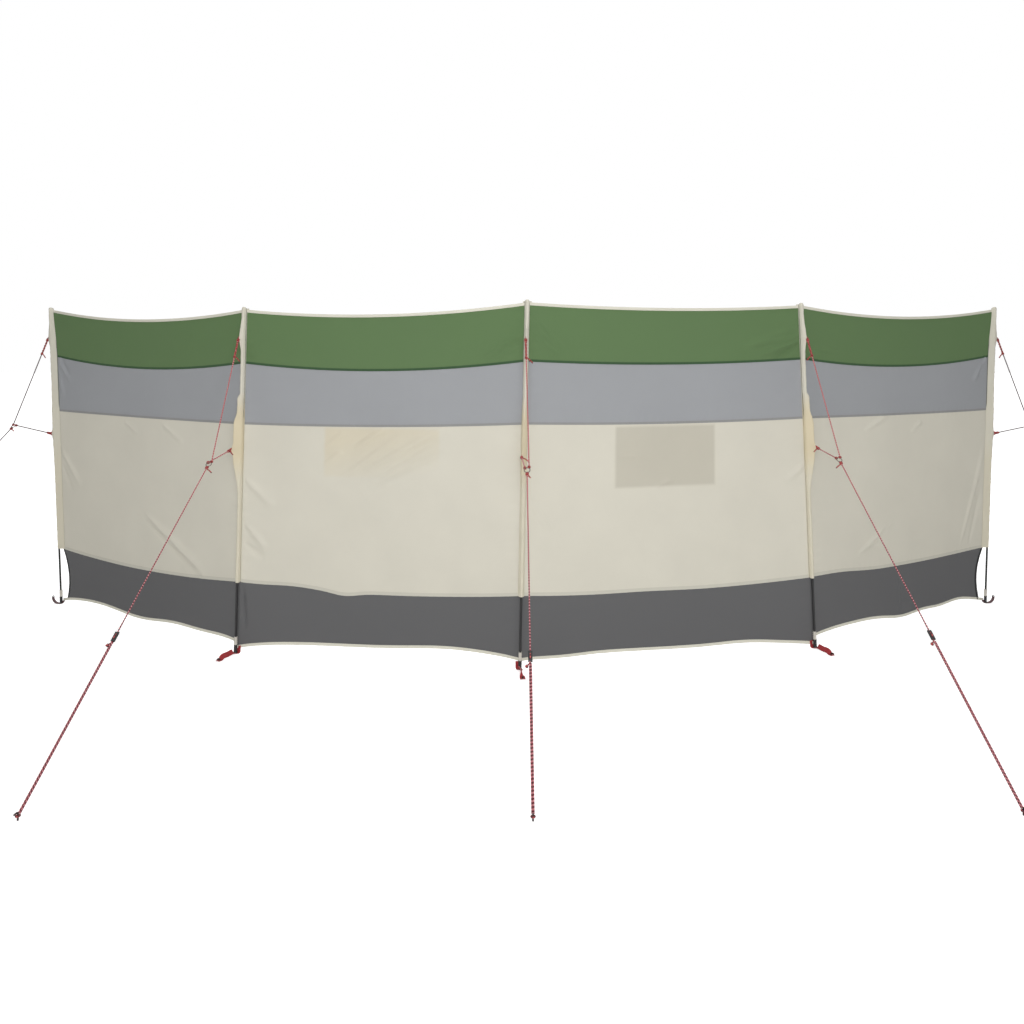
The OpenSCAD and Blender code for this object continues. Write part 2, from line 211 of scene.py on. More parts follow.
# Folds in each bay: x and z of both ends, height and width of the ridge
FOLDS = [
    [(0.02, 1.26, 0.13, 1.13, 0.009, 0.01), (0.05, 1.26, 0.12, 1.15, -0.007, 0.009),
     (0.02, 1.22, 0.07, 1.05, 0.007, 0.012), (0.66, 0.535, 1.1, 0.305, 0.011, 0.015),
     (0.67, 0.495, 1.06, 0.28, -0.008, 0.013), (0.52, 0.95, 0.62, 0.9, 0.0058, 0.0096),
     (0.78, 0.955, 0.93, 0.875, 0.0065, 0.0108), (0.02, 0.81, 0.19, 0.61, 0.0072, 0.0144),
     (0.02, 0.74, 0.12, 0.58, -0.0051, 0.012), (0.1, 0.98, 0.55, 0.9, 0.003, 0.04),
     (0.75, 0.7, 1.15, 0.62, 0.002, 0.035)],
    [(1.22, 1.36, 1.06, 1.27, 0.0065, 0.0096), (1.22, 1.32, 1.08, 1.25, 0.0051, 0.0096),
     (0.01, 0.75, 0.16, 0.62, 0.008, 0.0144), (0.02, 0.56, 0.13, 0.44, 0.0072, 0.012),
     (0.02, 0.47, 0.12, 0.4, -0.0058, 0.012), (0.37, 0.875, 0.47, 0.95, 0.006, 0.01),
     (0.45, 0.75, 0.74, 0.96, 0.0065, 0.012), (0.54, 0.775, 0.92, 0.99, 0.0085, 0.013),
     (0.51, 0.88, 0.65, 0.97, 0.008, 0.012), (0.62, 0.765, 0.85, 0.92, -0.006, 0.011),
     (0.57, 0.715, 0.93, 0.9, -0.0072, 0.0156), (0.1, 0.92, 0.7, 0.55, 0.002, 0.05),
     (0.37, 0.8, 0.46, 0.87, 0.0065, 0.012), (0.022, 0.29, 0.036, 0.1, -0.01, 0.008)],
    [(1.29, 1.345, 1.05, 1.27, 0.008, 0.0096), (1.29, 1.335, 1.12, 1.25, -0.0072, 0.0096),
     (1.29, 1.36, 0.98, 1.31, 0.0065, 0.012), (1.29, 1.41, 1, 1.31, 0.0043, 0.0144),
     (0.02, 1.43, 0.16, 1.28, 0.0058, 0.0108), (0.02, 1.36, 0.14, 1.26, 0.0051, 0.0096),
     (1.3, 0.8, 1.18, 0.72, 0.0065, 0.012), (0.7, 0.55, 1.2, 0.4, 0.003, 0.03),
     (0.38, 0.853, 0.51, 0.846, 0.0025, 0.007), (0.57, 0.718, 0.66, 0.748, 0.0043, 0.0084),
     (0.02, 0.7, 0.12, 0.55, 0.0051, 0.012)],
    [(1.22, 1.27, 1.11, 1.13, 0.0095, 0.01), (1.2, 1.27, 1.15, 1.15, -0.0075, 0.009),
     (0.3, 0.36, 0.55, 0.49, 0.0072, 0.012), (0.4, 0.38, 0.53, 0.49, -0.0058, 0.0096),
     (0.36, 0.92, 0.52, 0.985, 0.0072, 0.0108), (0.67, 0.9, 0.75, 0.95, 0.0051, 0.0084),
     (0.05, 1.3, 0.22, 1.28, 0.0058, 0.0108), (0.6, 0.26, 0.61, 0.05, -0.0058, 0.0108),
     (1.05, 0.31, 1.225, 0.82, 0.006, 0.013), (1.12, 0.31, 1.2, 0.6, -0.0051, 0.0132),
     (0.1, 0.55, 0.5, 0.75, 0.002, 0.045)],
]


def bay_axes(b, z):
    """A point of the left rod of bay b, the way along the bay, and its width at height z."""
    start = rod_xy(b, z)
    run = rod_xy(b + 1, z) - start
    width = np.linalg.norm(run, axis=-1)
    return start, run / width[..., None], width


def bay_width(b, z):
    return bay_axes(b, z)[2]


def mid_width(b):
    return bay_width(b, np.array(WALL_H / 2))


def edge_z(edge, b, u):
    """Height of an edge of bay b at a share u along it."""
    if edge == FOOT:
        full = 1 - np.abs(2 * u - 1) ** 5
        z = FOOT_LEFT[b] * (1 - u) + FOOT_RIGHT[b] * u + FOOT_LIFT[b] * full
    else:
        left, right = (LEVELS[edge] - DROPS[edge][b + end] for end in (0, 1))
        z = left * (1 - u) + right * u - 4 * SAGS[edge][b] * u * (1 - u)
    for at, rise, width in SWELLS.get((edge, b), []):
        z = z + rise * np.exp(-((u - at) / width) ** 2)
    return z


def relief(b, x, z):
    """How far the cloth of bay b stands forward of its flat plane."""
    width = bay_width(b, z)
    inner = np.clip(np.minimum(x, width - x) / 0.10, 0, 1)
    out = 0.0030 * np.sin(2.9 * x + 1.7 * b) * np.sin(4.1 * z + 0.9 * b + 1.1)
    out = out + 0.0012 * np.sin(9.3 * x + 5.1 * z + b) * np.sin(7.9 * z - 3.3 * x + 2 * b)
    out = out * inner
    for x0, z0, x1, z1, high, wide in FOLDS[b]:
        run = np.array([x1 - x0, z1 - z0])
        length = np.linalg.norm(run)
        run = run / length
        along = ((x - x0) * run[0] + (z - z0) * run[1]) / length
        across = (x - x0) * run[1] - (z - z0) * run[0]
        fade = np.clip(1 - np.abs(2 * along - 1) ** 3, 0, 1) * (np.abs(2 * along - 1) < 1)
        spread = wide * (0.6 + 0.8 * np.clip(along, 0, 1))
        out = out + high * fade * np.exp(-(across / spread) ** 2)
    for near, phase in ((x, 0.0), (width - x, 2.0)):
        pucker = np.sin(2 * math.pi * z / 0.047 + 3 * np.sin(9 * z + b + phase) + phase)
        out = out + 0.0016 * pucker * np.exp(-np.clip(near - HALF_SLEEVE, 0, 1) / 0.022)
    for edge in (GREEN, GREY, CREAM):
        gap = np.abs(z - edge_z(edge, b, x / width))
        pucker = np.sin(2 * math.pi * x / 0.036 + 4 * np.sin(5 * x + edge) + b)
        out = out + 0.0006 * pucker * np.exp(-gap / 0.016)
    calm = [END_CALM if is_end(i) else INNER_CALM for i in (b, b + 1)]
    return (out * np.clip((x - calm[0]) / CALM_FADE, 0, 1)
            * np.clip((width - x - calm[1]) / CALM_FADE, 0, 1))


def wall_point(b, x, z, forward=0.0):
    """A place on bay b: x along from its left rod, z up, and forward of the cloth's plane."""
    start, run, _ = bay_axes(b, z)
    back = CLOTH_BACK - forward
    return np.stack([start[..., 0] + x * run[..., 0] - back * run[..., 1],
                     start[..., 1] + x * run[..., 1] + back * run[..., 0], z], -1)


def cloth_point(b, x, z, forward=0.0):
    """A place on the cloth of bay b itself, with its belly, folds and puckers."""
    return wall_point(b, x, z, forward + relief(b, x, z))


def layer(grid, uv, thick=CLOTH_T):
    """A closed thin sheet round a grid of points, rows from the lowest, columns rightwards."""
    rows, cols = grid.shape[:2]
    count = rows * cols
    normal = np.cross(np.gradient(grid, axis=1), np.gradient(grid, axis=0))
    normal = normal / np.linalg.norm(normal, axis=-1)[..., None]
    points = np.concatenate([(grid + normal * thick / 2).reshape(-1, 3),
                             (grid - normal * thick / 2).reshape(-1, 3)])
    at = np.arange(count).reshape(rows, cols)
    face = np.stack([at[:-1, :-1], at[:-1, 1:], at[1:, 1:], at[1:, :-1]], -1).reshape(-1, 4)
    rim = np.concatenate([at[0, :-1], at[:-1, -1], at[-1, :0:-1], at[:0:-1, 0]])
    after = np.roll(rim, -1)
    side = np.stack([after, rim, rim + count, after + count], -1)
    faces = np.concatenate([face, face[:, ::-1] + count, side])
    return points, faces.tolist(), np.concatenate([uv.reshape(-1, 2)] * 2)


def piece(name, parts, material, slot, *nodes):
    """One object made of several closed parts: it rides on the wall and replaces nodes."""
    points, faces, uvs, start = [], [], [], 0
    for part_points, part_faces, part_uv in parts:
        points.append(part_points)
        uvs.append(part_uv)
        faces += [[start + v for v in face] for face in part_faces]
        start += len(part_points)
    mesh = bpy.data.meshes.new(name)
    mesh.from_pydata(np.concatenate(points).tolist(), [], faces)
    uv = np.concatenate(uvs)
    corner = np.zeros(len(mesh.loops), np.int32)
    mesh.loops.foreach_get("vertex_index", corner)
    mesh.uv_layers.new(name="cloth").data.foreach_set("uv", uv[corner].ravel())
    mesh.shade_smooth()
    mesh.set_sharp_from_angle(angle=math.radians(50))
    mesh.materials.append(material)
    made = bpy.data.objects.new(name, mesh)
    bpy.context.scene.collection.objects.link(made)
    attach(made, "root")
    if nodes:
        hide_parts(*nodes)
    return made


def band_grid(b, high, low, in_left, in_right):
    """Places (x, z) that fill bay b between two edges, each given as a height for u."""
    width = mid_width(b)
    u = np.linspace(0, 1, int(width / CLOTH_STEP))
    rows = max(2, int((high(0.5) - low(0.5)) / CLOTH_STEP))
    v = np.linspace(0, 1, rows)[:, None]
    left, right = in_left(v), in_right(v)
    share = (left + (width - left - right) * u) / width
    z = low(share) * (1 - v) + high(share) * v
    x = left + (bay_width(b, z) - left - right) * u
    return x, z


def cloth_place(tree):
    return add_node(tree, "ShaderNodeUVMap", uv_map="cloth").outputs["UV"]


def marked(tree, word):
    """The value of a piece's own attribute."""
    return add_node(tree, "ShaderNodeAttribute", attribute_name=word).outputs["Fac"]


def waves(tree, way, scale, distortion, detail):
    return add_node(tree, "ShaderNodeTexWave", bands_direction=way, Vector=cloth_place(tree),
                    Scale=scale, Distortion=distortion, Detail=detail).outputs["Fac"]


def cloth_finish(name, colour, behind=None):
    """Coated polyester: a fine plain weave, faint mottling, soft wrinkles and a low sheen. Its
    last argument, when given, multiplies in a painted shade where a pocket behind the cloth shows
    through against the backlight."""
    made, shader = material_of(name, 0.72, sheen=0.04)
    tree = made.node_tree
    place = cloth_place(tree)
    mottle = noise(tree, place, 4.0, 4.0, 0.55)
    base = linear(*colour)
    tint = ramp(tree, mottle, (0.3, [c * 0.975 for c in base]), (0.7, [c * 1.02 for c in base]))
    if behind is not None:
        # Painted shade of the pocket behind, shown through the cloth by the backlight, where the
        # pocket mark is set
        tint = mixed(tree, marked(tree, "pocket"), tint, (*behind, 1), "MULTIPLY")
    weave = reckon(tree, "ADD", *(waves(tree, way, 320.0, 0.6, 1.0) for way in "XY"))
    soft = bump(tree, noise(tree, place, 30.0, 3.0, 0.6), 0.0007, 0.25)
    fine = add_node(tree, "ShaderNodeBump", Height=weave, Distance=0.00006, Strength=0.5,
                    Normal=soft)
    feed(shader, Base_Color=tint, Normal=fine.outputs["Normal"], Sheen_Roughness=0.5,
         Specular_IOR_Level=0.25, Roughness=ramp(tree, mottle, (0.3, 0.66), (0.7, 0.80)))
    return made


def tucked(v):
    """The bands run on a little under the sleeves' edges."""
    return np.full_like(v, HALF_SLEEVE - 0.003)


def flat_uv(x, z):
    return np.stack([x, z], -1)


def band(b, name, high_edge, low_edge, material, slot, in_left=tucked, in_right=tucked):
    x, z = band_grid(b, lambda u: edge_z(high_edge, b, u), lambda u: edge_z(low_edge, b, u),
                     in_left, in_right)
    made = piece(f"{name}_cloth_{b + 1}", [layer(cloth_point(b, x, z), flat_uv(x, z))],
                 material, slot, f"{name}_{b + 1}")
    return made, x, z


green = cloth_finish("green_cloth", (95, 121, 80))
light_grey = cloth_finish("light_grey_cloth", (158, 160, 163))
CREAM_COLOUR = (214, 210, 196)
cream = cloth_finish("cream_cloth", CREAM_COLOUR)
# Bays 2 and 3 get cream cloth with a painted shade of the tan or grey pocket that shows through it
# against the backlight.
cream_panels = [cream, cloth_finish("cream_cloth_painted_tan_pocket_shade", CREAM_COLOUR, (1, 0.955, 0.87)),
                cloth_finish("cream_cloth_painted_grey_pocket_shade", CREAM_COLOUR, (0.82, 0.81, 0.79)), cream]
dark_grey = cloth_finish("dark_grey_cloth", (98, 98, 99))
POCKETS = {1: (0.380, 0.500, 0.205), 2: (0.395, 0.450, 0.255)}
POCKET_DROP = 0.012
FREE_TOP, FREE_FOOT, FREE_BOW = 0.021, 0.038, 0.034


def mark(made, word, values):
    """Stores a value for each point of a piece."""
    attribute = made.data.attributes.new(word, "FLOAT", "POINT")
    attribute.data.foreach_set("value", values.astype(np.float32))


def pocket_box(b):
    """Left, right, low and high of the storage pocket behind bay b."""
    left, wide, deep = POCKETS[b]
    high = float(edge_z(GREY, b, 0.5)) - POCKET_DROP
    return left, left + wide, high - deep, high


def free_edge(v):
    """The end bays' skirts stop short of the rod, in a bowed edge."""
    return FREE_FOOT * (1 - v) + FREE_TOP * v + 4 * FREE_BOW * v * (1 - v)


def behind_rod(i):
    """Where the skirts of two bays meet behind an inner rod."""
    (_, left, _), (_, right, _) = (bay_axes(b, np.array(0.15)) for b in (i - 1, i))
    half = math.acos(float(left @ right)) / 2
    return lambda v: np.full_like(v, CLOTH_BACK * math.tan(half) + 0.0004)


sheets = {}
for b in range(BAYS):
    sheets["green", b] = band(b, "green_band", TOP, GREEN, green, "green_cloth")
    sheets["grey", b] = band(b, "grey_band", GREEN, GREY, light_grey, "light_grey_cloth")
    sheets["cream", b] = band(b, "cream_panel", GREY, CREAM, cream_panels[b], "cream_cloth")
    sheets["skirt", b] = band(b, "skirt", CREAM, FOOT, dark_grey, "dark_grey_cloth",
                              free_edge if b == 0 else behind_rod(b),
                              free_edge if b == BAYS - 1 else behind_rod(b + 1))
    panel, x, z = sheets["cream", b]
    # Painted shade: where the pocket behind a cream panel shows through against the backlight; in
    # bay 2 it fades out towards the lower right.
    over = np.zeros_like(x)
    if b in POCKETS:
        left, right, low, high = pocket_box(b)
        inside = np.minimum(np.minimum(x - left, right - x), np.minimum(z - low, high - z))
        over = np.clip(inside / 0.012 + 0.5, 0, 1)
        if b == 1:
            fade = 0.6 * (x - left) / (right - left) + 0.9 * (high - z) / (high - low)
            over = over * np.clip(1.35 - fade, 0, 1)
    mark(panel, "pocket", np.tile(over.ravel(), 2))

# Seams -----------------------------------------------------------------------------------
# The bands are joined by flat-felled seams: the upper cloth is folded over the lower and
# sewn down with two rows of thread. The seam lies proud of the cloth on both faces.
SEAM_H = 0.010
SEAM_PROUD = 0.0009
SEAM_IN = 0.013


def strip_parts(b, edge, above, below, forward):
    """A narrow strip of cloth that follows an edge of bay b, from above it to below it."""
    width = mid_width(b)
    u = np.linspace(0, 1, int(width / 0.0085))
    v = np.linspace(-below, above, 4)[:, None]
    share = (SEAM_IN + (width - SEAM_IN - SEAM_IN) * u) / width
    z = edge_z(edge, b, share) + v
    x = SEAM_IN + (bay_width(b, z) - SEAM_IN - SEAM_IN) * u
    return layer(cloth_point(b, x, z, forward), flat_uv(x, z), 0.0007)


seam_finishes = {
    GREEN: cloth_finish("green_seam", (58, 84, 56)),
    GREY: cloth_finish("grey_seam", (150, 150, 148)),
    CREAM: cloth_finish("cream_seam", (203, 200, 187)),
}
seam_words = {GREEN: ("green", "green_cloth"), GREY: ("grey", "light_grey_cloth"),
              CREAM: ("cream", "cream_cloth")}
for edge, (word, slot) in seam_words.items():
    for b in range(BAYS):
        above, below = (0.013, 0.001) if edge == CREAM else (SEAM_H / 2, SEAM_H / 2)
        parts = [strip_parts(b, edge, above, below, side * SEAM_PROUD) for side in (1, -1)]
        piece(f"{word}_seam_{b + 1}", parts, seam_finishes[edge], slot)

# Bindings --------------------------------------------------------------------------------
# A cream tape is folded over the top and the bottom edge of each bay and sewn through.
# The end skirts' free edges are bound in the same way with dark tape.
BINDING_T = 0.0026


def folded_tape(line, drop, normal, thick):
    """A tape folded over an edge: line along the edge, drop into the cloth, normal across."""
    outline = [(-0.5, 0.0), (-0.5, 0.94), (-0.3, 1.02), (0.3, 1.02), (0.5, 0.94), (0.5, 0.0)]
    rings = np.stack([line + normal * thick * a + drop * (1 - c) for a, c in outline], 1)
    rows, cols = rings.shape[:2]
    at = np.arange(rows * cols).reshape(rows, cols)
    nxt = np.roll(at, -1, axis=1)
    sides = np.stack([at[:-1], at[1:], nxt[1:], nxt[:-1]], -1).reshape(-1, 4).tolist()
    faces = sides + [at[0].tolist(), at[-1, ::-1].tolist()]
    run = np.cumsum(np.append(0, np.linalg.norm(np.diff(line, axis=0), axis=1)))
    up = np.array([c for _, c in outline]) * HEM_H
    uv = np.stack(np.broadcast_arrays(run[:, None], up), -1)
    return rings.reshape(-1, 3), faces, uv.reshape(-1, 2)


def bay_back(b, z):
    """The level way straight back from bay b at each height."""
    _, run, _ = bay_axes(b, z)
    return np.stack([-run[:, 1], run[:, 0], np.zeros(len(z))], -1)


def edge_tape(b, edge, side, left, right):
    """The binding of bay b's top (side 1) or bottom (side -1) edge."""
    width = mid_width(b)
    u = np.linspace(left / width, 1 - right / width, 150)
    z = edge_z(edge, b, u)
    x = u * bay_width(b, z)
    line = cloth_point(b, x, z)
    inside = cloth_point(b, x, z - side * HEM_H)
    return folded_tape(line, inside - line, bay_back(b, z) * side, BINDING_T)


tape = cloth_finish("binding_tape", (222, 219, 204))
tops, bottoms = [], []
for b in range(BAYS):
    tops.append(edge_tape(b, TOP, 1, 0.012, 0.012))
    ends = [0.006 if is_end(i) else 0.004 for i in (b, b + 1)]
    bottoms.append(edge_tape(b, FOOT, -1, *ends))
piece("top_binding", tops, tape, "binding_tape", "top_hems")
piece("bottom_binding", bottoms, tape, "binding_tape", "bottom_hems")


def free_edge_tape(b, from_right):
    v = np.linspace(0.02, 0.98, 40)
    inset = free_edge(v)
    width = mid_width(b)
    x = width - inset if from_right else inset
    z = edge_z(FOOT, b, x / width) * (1 - v) + edge_z(CREAM, b, x / width) * v
    line = cloth_point(b, x, z)
    inside = cloth_point(b, x + (-0.011 if from_right else 0.011), z)
    back = bay_back(b, z) * (1 if from_right else -1)
    return folded_tape(line, inside - line, back, BINDING_T)


dark_tape = cloth_finish("dark_tape", (24, 24, 26))
piece("skirt_edge_binding", [free_edge_tape(0, False), free_edge_tape(BAYS - 1, True)],
      dark_tape, "dark_grey_cloth")

# Sleeves ---------------------------------------------------------------------------------
# A long strip of cream cloth is folded round each rod and sewn to the wall on both sides.
# It is loose, so the guys pull it out to a point at each tab, and it puckers in between.
SLEEVE_T = 0.0007
UPPER_TAB_Z, LOWER_TAB_Z = 1.345, 0.866
GUY_BEARINGS = [-108, -8.8, 1.4, 5.4, 108]
TAB_BEARINGS = [-108, -45, -12, 42, 108]
LAP_Z = 1.107
# How far a sleeve reaches to the left and to the right of its rod: above, then below
SLEEVE_WIDE = [((0.013, 0.013), (0.033, 0.033)), ((0.008, 0.010), (0.017, 0.009)),
               ((0.013, 0.011), (0.015, 0.013)), ((0.010, 0.008), (0.009, 0.017)),
               ((0.013, 0.013), (0.033, 0.033))]
# How far the lower guy draws the slack sleeve: to the right and forward
SLEEVE_DRAWN = [(-0.004, 0.002), (-0.022, 0.010), (-0.007, 0.009), (0.022, 0.010),
                (0.004, 0.002)]


def smooth(value, low, high):
    t = np.clip((value - low) / (high - low), 0, 1)
    return t * t * (3 - 2 * t)


def out_way(bearing):
    """The level direction that a guy leaves in: 0 is straight out of the wall's front."""
    return np.array([math.sin(math.radians(bearing)), -math.cos(math.radians(bearing))])


def sleeve_reach(i, z, side):
    """Distance from rod i to the sleeve's sewn edge on the left (0) or right (1)."""
    above, below = (pair[side] for pair in SLEEVE_WIDE[i])
    if is_end(i):
        return below + (above - below) * smooth(z, 1.24, 1.50)
    return below + (above - below) * smooth(z, LAP_Z - 0.055, LAP_Z + 0.008)


def sewn_edges(i, z):
    """Where the strip of rod i is sewn down at height z: its left and its right edge."""
    left_reach, right_reach = (sleeve_reach(i, z, side) for side in (0, 1))
    face = 0.0014
    if i == 0:
        places = [(0, left_reach, -face), (0, right_reach, face)]
    elif i == RODS - 1:
        width = bay_width(i - 1, np.array(z))
        places = [(i - 1, width - left_reach, face), (i - 1, width - right_reach, -face)]
    else:
        width = bay_width(i - 1, np.array(z))
        places = [(i - 1, width - left_reach, face), (i, right_reach, face)]
    return [cloth_point(b, np.array(x), np.array(z), forward)[:2] for b, x, forward in places]


def bends_left(a, b, c):
    """Whether a line in plan from a through b to c turns to the left."""
    return (b[0] - a[0]) * (c[1] - b[1]) - (b[1] - a[1]) * (c[0] - b[0]) > 0


def wrapped(points, start, end):
    """The cloth pulled tight round points in plan, anticlockwise from start to end."""
    everything = sorted({(float(x), float(y)) for x, y in np.vstack([points, start, end])})
    chains = []
    for ordered in (everything, everything[::-1]):
        chain = []
        for p in ordered:
            while len(chain) > 1 and not bends_left(chain[-2], chain[-1], p):
                chain.pop()
            chain.append(p)
        chains += chain[:-1]
    ring = np.array(chains)
    first = int(np.argmin(np.linalg.norm(ring - start, axis=1)))
    last = int(np.argmin(np.linalg.norm(ring - end, axis=1)))
    count = (last - first) % len(ring) + 1
    return np.array([ring[(first + k) % len(ring)] for k in range(count)])


def resampled(line, count):
    """The same line with that many evenly spaced points."""
    run = np.append(0, np.cumsum(np.linalg.norm(np.diff(line, axis=0), axis=1)))
    at = np.linspace(0, run[-1], count)
    return np.stack([np.interp(at, run, line[:, k]) for k in range(line.shape[1])], -1), at


def circle(x, y, radius, count=20):
    angle = np.arange(count) * 2 * math.pi / count
    return np.stack([x + radius * np.cos(angle), y + radius * np.sin(angle)], -1)


def sleeve_draw(i, z):
    """Where the slack of sleeve i is drawn to by its lower guy, in plan from its rod."""
    slack = smooth(z, 0.66, 0.85) * (1 - 0.55 * smooth(z, 0.97, 1.04)
                                     - 0.45 * smooth(z, 1.085, 1.11))
    right, forward = SLEEVE_DRAWN[i]
    return slack * np.array([right, -forward]), slack


def sleeve_line(i, z, count):
    """The sleeve's strip in plan at height z."""
    centre = rod_xy(i, z)
    out = out_way(TAB_BEARINGS[i])
    rounds = [circle(*centre, ROD_R + 0.0012)]
    rise = z - UPPER_TAB_Z
    peak = max(0.0, 1 - (rise / 0.11 if rise > 0 else -rise / 0.065))
    rounds.append(circle(*(centre + out * (0.004 + 0.012 * peak ** 1.3)), 0.0018, 8))
    draw, slack = sleeve_draw(i, z)
    drawn = centre + draw
    rounds.append(circle(*drawn, ROD_R + 0.0012 - 0.002 * slack, 12))
    tip = max(0.0, 1 - abs(z - LOWER_TAB_Z) / 0.035)
    rounds.append(circle(*(drawn + out * (0.004 + 0.008 * tip ** 1.2)), 0.0016, 8))
    start, end = sewn_edges(i, z)
    line, run = resampled(wrapped(np.vstack(rounds), start, end), count)
    middle = 1 - np.abs(2 * run / run[-1] - 1)
    pucker = 0.0008 * np.sin(z * 2 * math.pi / 0.041 + 2 * np.sin(13 * z + i) + 3 * middle)
    pucker = pucker + 0.0007 * np.sin(z * 2 * math.pi / 0.023 + 5 * middle + i)
    away = line - centre
    away = away / np.linalg.norm(away, axis=1)[:, None]
    return line + away * (np.abs(pucker) * np.clip(middle * 4, 0, 1))[:, None], run


def sleeve_front(i, low, high, count, step=0.008):
    heights = np.linspace(low, high, int((high - low) / step))
    rows, uvs = [], []
    for z in heights:
        line, run = sleeve_line(i, z, count)
        rows.append(np.column_stack([line, np.full(count, z)]))
        uvs.append(np.column_stack([run, np.full(count, z)]))
    crown = rod_point(i, high)
    for share, rise in ((0.80, 0.0035), (0.45, 0.0060), (0.12, 0.0068)):
        rows.append(crown + (rows[len(heights) - 1] - crown) * share + [0, 0, rise])
        uvs.append(uvs[len(heights) - 1] + [0, rise])
    return layer(np.array(rows), np.array(uvs), SLEEVE_T)


def sleeve_back(i, low, high):
    """The strip of cloth that closes a sleeve behind an inner rod."""
    z = np.linspace(low, high, int((high - low) / 0.012))
    width = bay_width(i - 1, z)
    columns = [cloth_point(i - 1, width - x, z, -0.0013) for x in (0.021, 0.014, 0.007)]
    corner = (wall_point(i - 1, width - 0.001, z, -0.0013)
              + wall_point(i, 0.001 + 0 * z, z, -0.0013)) / 2
    columns.append(corner)
    columns += [cloth_point(i, x + 0 * z, z, -0.0013) for x in (0.007, 0.014, 0.021)]
    grid = np.stack(columns, 1)
    uv = np.stack(np.broadcast_arrays(np.linspace(0, 0.042, 7), z[:, None]), -1)
    return layer(grid, uv, SLEEVE_T)


def sleeve_finish(name, middle_colour):
    """Cream cloth as the panels', tinted by height: a little warm below 0.74 m, its second
    argument's colour from 0.84 m to 1.02 m round the lower tab, and near plain above 1.12 m.
    """
    made = cloth_finish(name, CREAM_COLOUR)
    tree = made.node_tree
    shader = tree.nodes["Principled BSDF"]
    cloth = shader.inputs["Base Color"].links[0].from_socket
    height = add_node(tree, "ShaderNodeSeparateXYZ", Vector=cloth_place(tree)).outputs["Y"]
    top_colour, low = (1.0, 1.0, 0.99), (1.0, 0.975, 0.91)
    warm = ramp(tree, reckon(tree, "DIVIDE", height, WALL_H), (0.49, low), (0.56, middle_colour),
                (0.68, middle_colour), (0.745, top_colour))
    tinted = mixed(tree, 1.0, cloth, warm, "MULTIPLY")
    # Painted shade: the hem mark darkens the sleeve at its sewn edges, for the shadowed gap
    # between sleeve and wall.
    edge_shaded = mixed(tree, marked(tree, "hem"), tinted, (0.22, 0.24, 0.23, 1), "MULTIPLY")
    feed(shader, Base_Color=edge_shaded)
    return made


inner_sleeve_finish = sleeve_finish("sleeve_cloth_inner", (1.0, 0.92, 0.76))
end_sleeve_finish = sleeve_finish("sleeve_cloth_ends", (1.0, 0.995, 0.97))
sleeves = []
for i in range(RODS):
    low = LEVELS[CREAM] - DROPS[CREAM][i] - 0.002
    high = WALL_H - DROPS[TOP][i] - 0.006
    wide = 44 if is_end(i) else 30
    parts = [sleeve_front(i, low, high, wide)]
    if not is_end(i):
        parts.append(sleeve_back(i, low, high))
    sleeves.append(piece(f"sleeve_cloth_{i + 1}", parts,
                         end_sleeve_finish if is_end(i) else inner_sleeve_finish,
                         "cream_cloth", f"sleeve_{i + 1}"))
    points = np.array([v.co for v in sleeves[i].data.vertices])
    front = len(parts[0][0])
    column = np.arange(front) % wide
    # The hem mark is painted shade, not a hem: the two columns at a sewn edge beside a bay are
    # darkened above about 1.0 m, and on the end sleeves only up to about 1.33 m.
    at_edge = (column < 2) & (i > 0) | (column > wide - 3) & (i < RODS - 1)
    height = points[:front, 2]
    hem = np.zeros(len(points))
    hem[:front] = at_edge * smooth(height, 0.99, 1.02)
    if is_end(i):
        hem[:front] *= 1 - smooth(height, 1.30, 1.36)
    mark(sleeves[i], "hem", hem)

# Below the sleeves a narrow strip of skirt cloth joins the skirts behind each inner rod
for i in range(1, RODS - 1):
    low = float(max(edge_z(FOOT, i - 1, 1.0), edge_z(FOOT, i, 0.0))) + 0.004
    high = LEVELS[CREAM] - DROPS[CREAM][i]
    piece(f"skirt_join_{i + 1}", [sleeve_back(i, low, high)], dark_grey,
                           "dark_grey_cloth")

# Foot caps -------------------------------------------------------------------------------
# A moulded black cap closes each rod's foot. It has a rolled lip round the rod, ribs to
# grip it by, and a wider base that stands on the ground.
CAP_H = 0.036


def across(axis):
    """Two directions square to an axis, which with it make a right-handed set."""
    axis = np.asarray(axis, float) / np.linalg.norm(axis)
    side = np.cross([0, 1, 0] if abs(axis[1]) < 0.9 else [1, 0, 0], axis)
    side = side / np.linalg.norm(side)
    return side, np.cross(axis, side)


def turned(base, axis, outline, sides=40):
    """A turned solid: the outline's (radius, height) points run from axis to axis."""
    axis = np.asarray(axis, float) / np.linalg.norm(axis)
    side, other = across(axis)
    angle = np.arange(sides) * 2 * math.pi / sides
    ring = np.cos(angle)[:, None] * side + np.sin(angle)[:, None] * other
    inner = outline[1:-1]
    points = [base + axis * outline[0][1]]
    points += [base + ring[k] * r + axis * h for r, h in inner for k in range(sides)]
    points.append(base + axis * outline[-1][1])
    uv = [(0, 0)] + [(k / sides, h) for _, h in inner for k in range(sides)] + [(0, 1)]
    at = 1 + np.arange(len(inner) * sides).reshape(len(inner), sides)
    nxt = np.roll(at, -1, axis=1)
    faces = np.stack([at[:-1], nxt[:-1], nxt[1:], at[1:]], -1).reshape(-1, 4).tolist()
    faces += [[0, int(nxt[0, k]), int(at[0, k])] for k in range(sides)]
    faces += [[len(points) - 1, int(at[-1, k]), int(nxt[-1, k])] for k in range(sides)]
    return np.array(points), faces, np.array(uv, float)


def rod_way(i):
    low, high = axes[i]
    return (high - low) / np.linalg.norm(high - low)


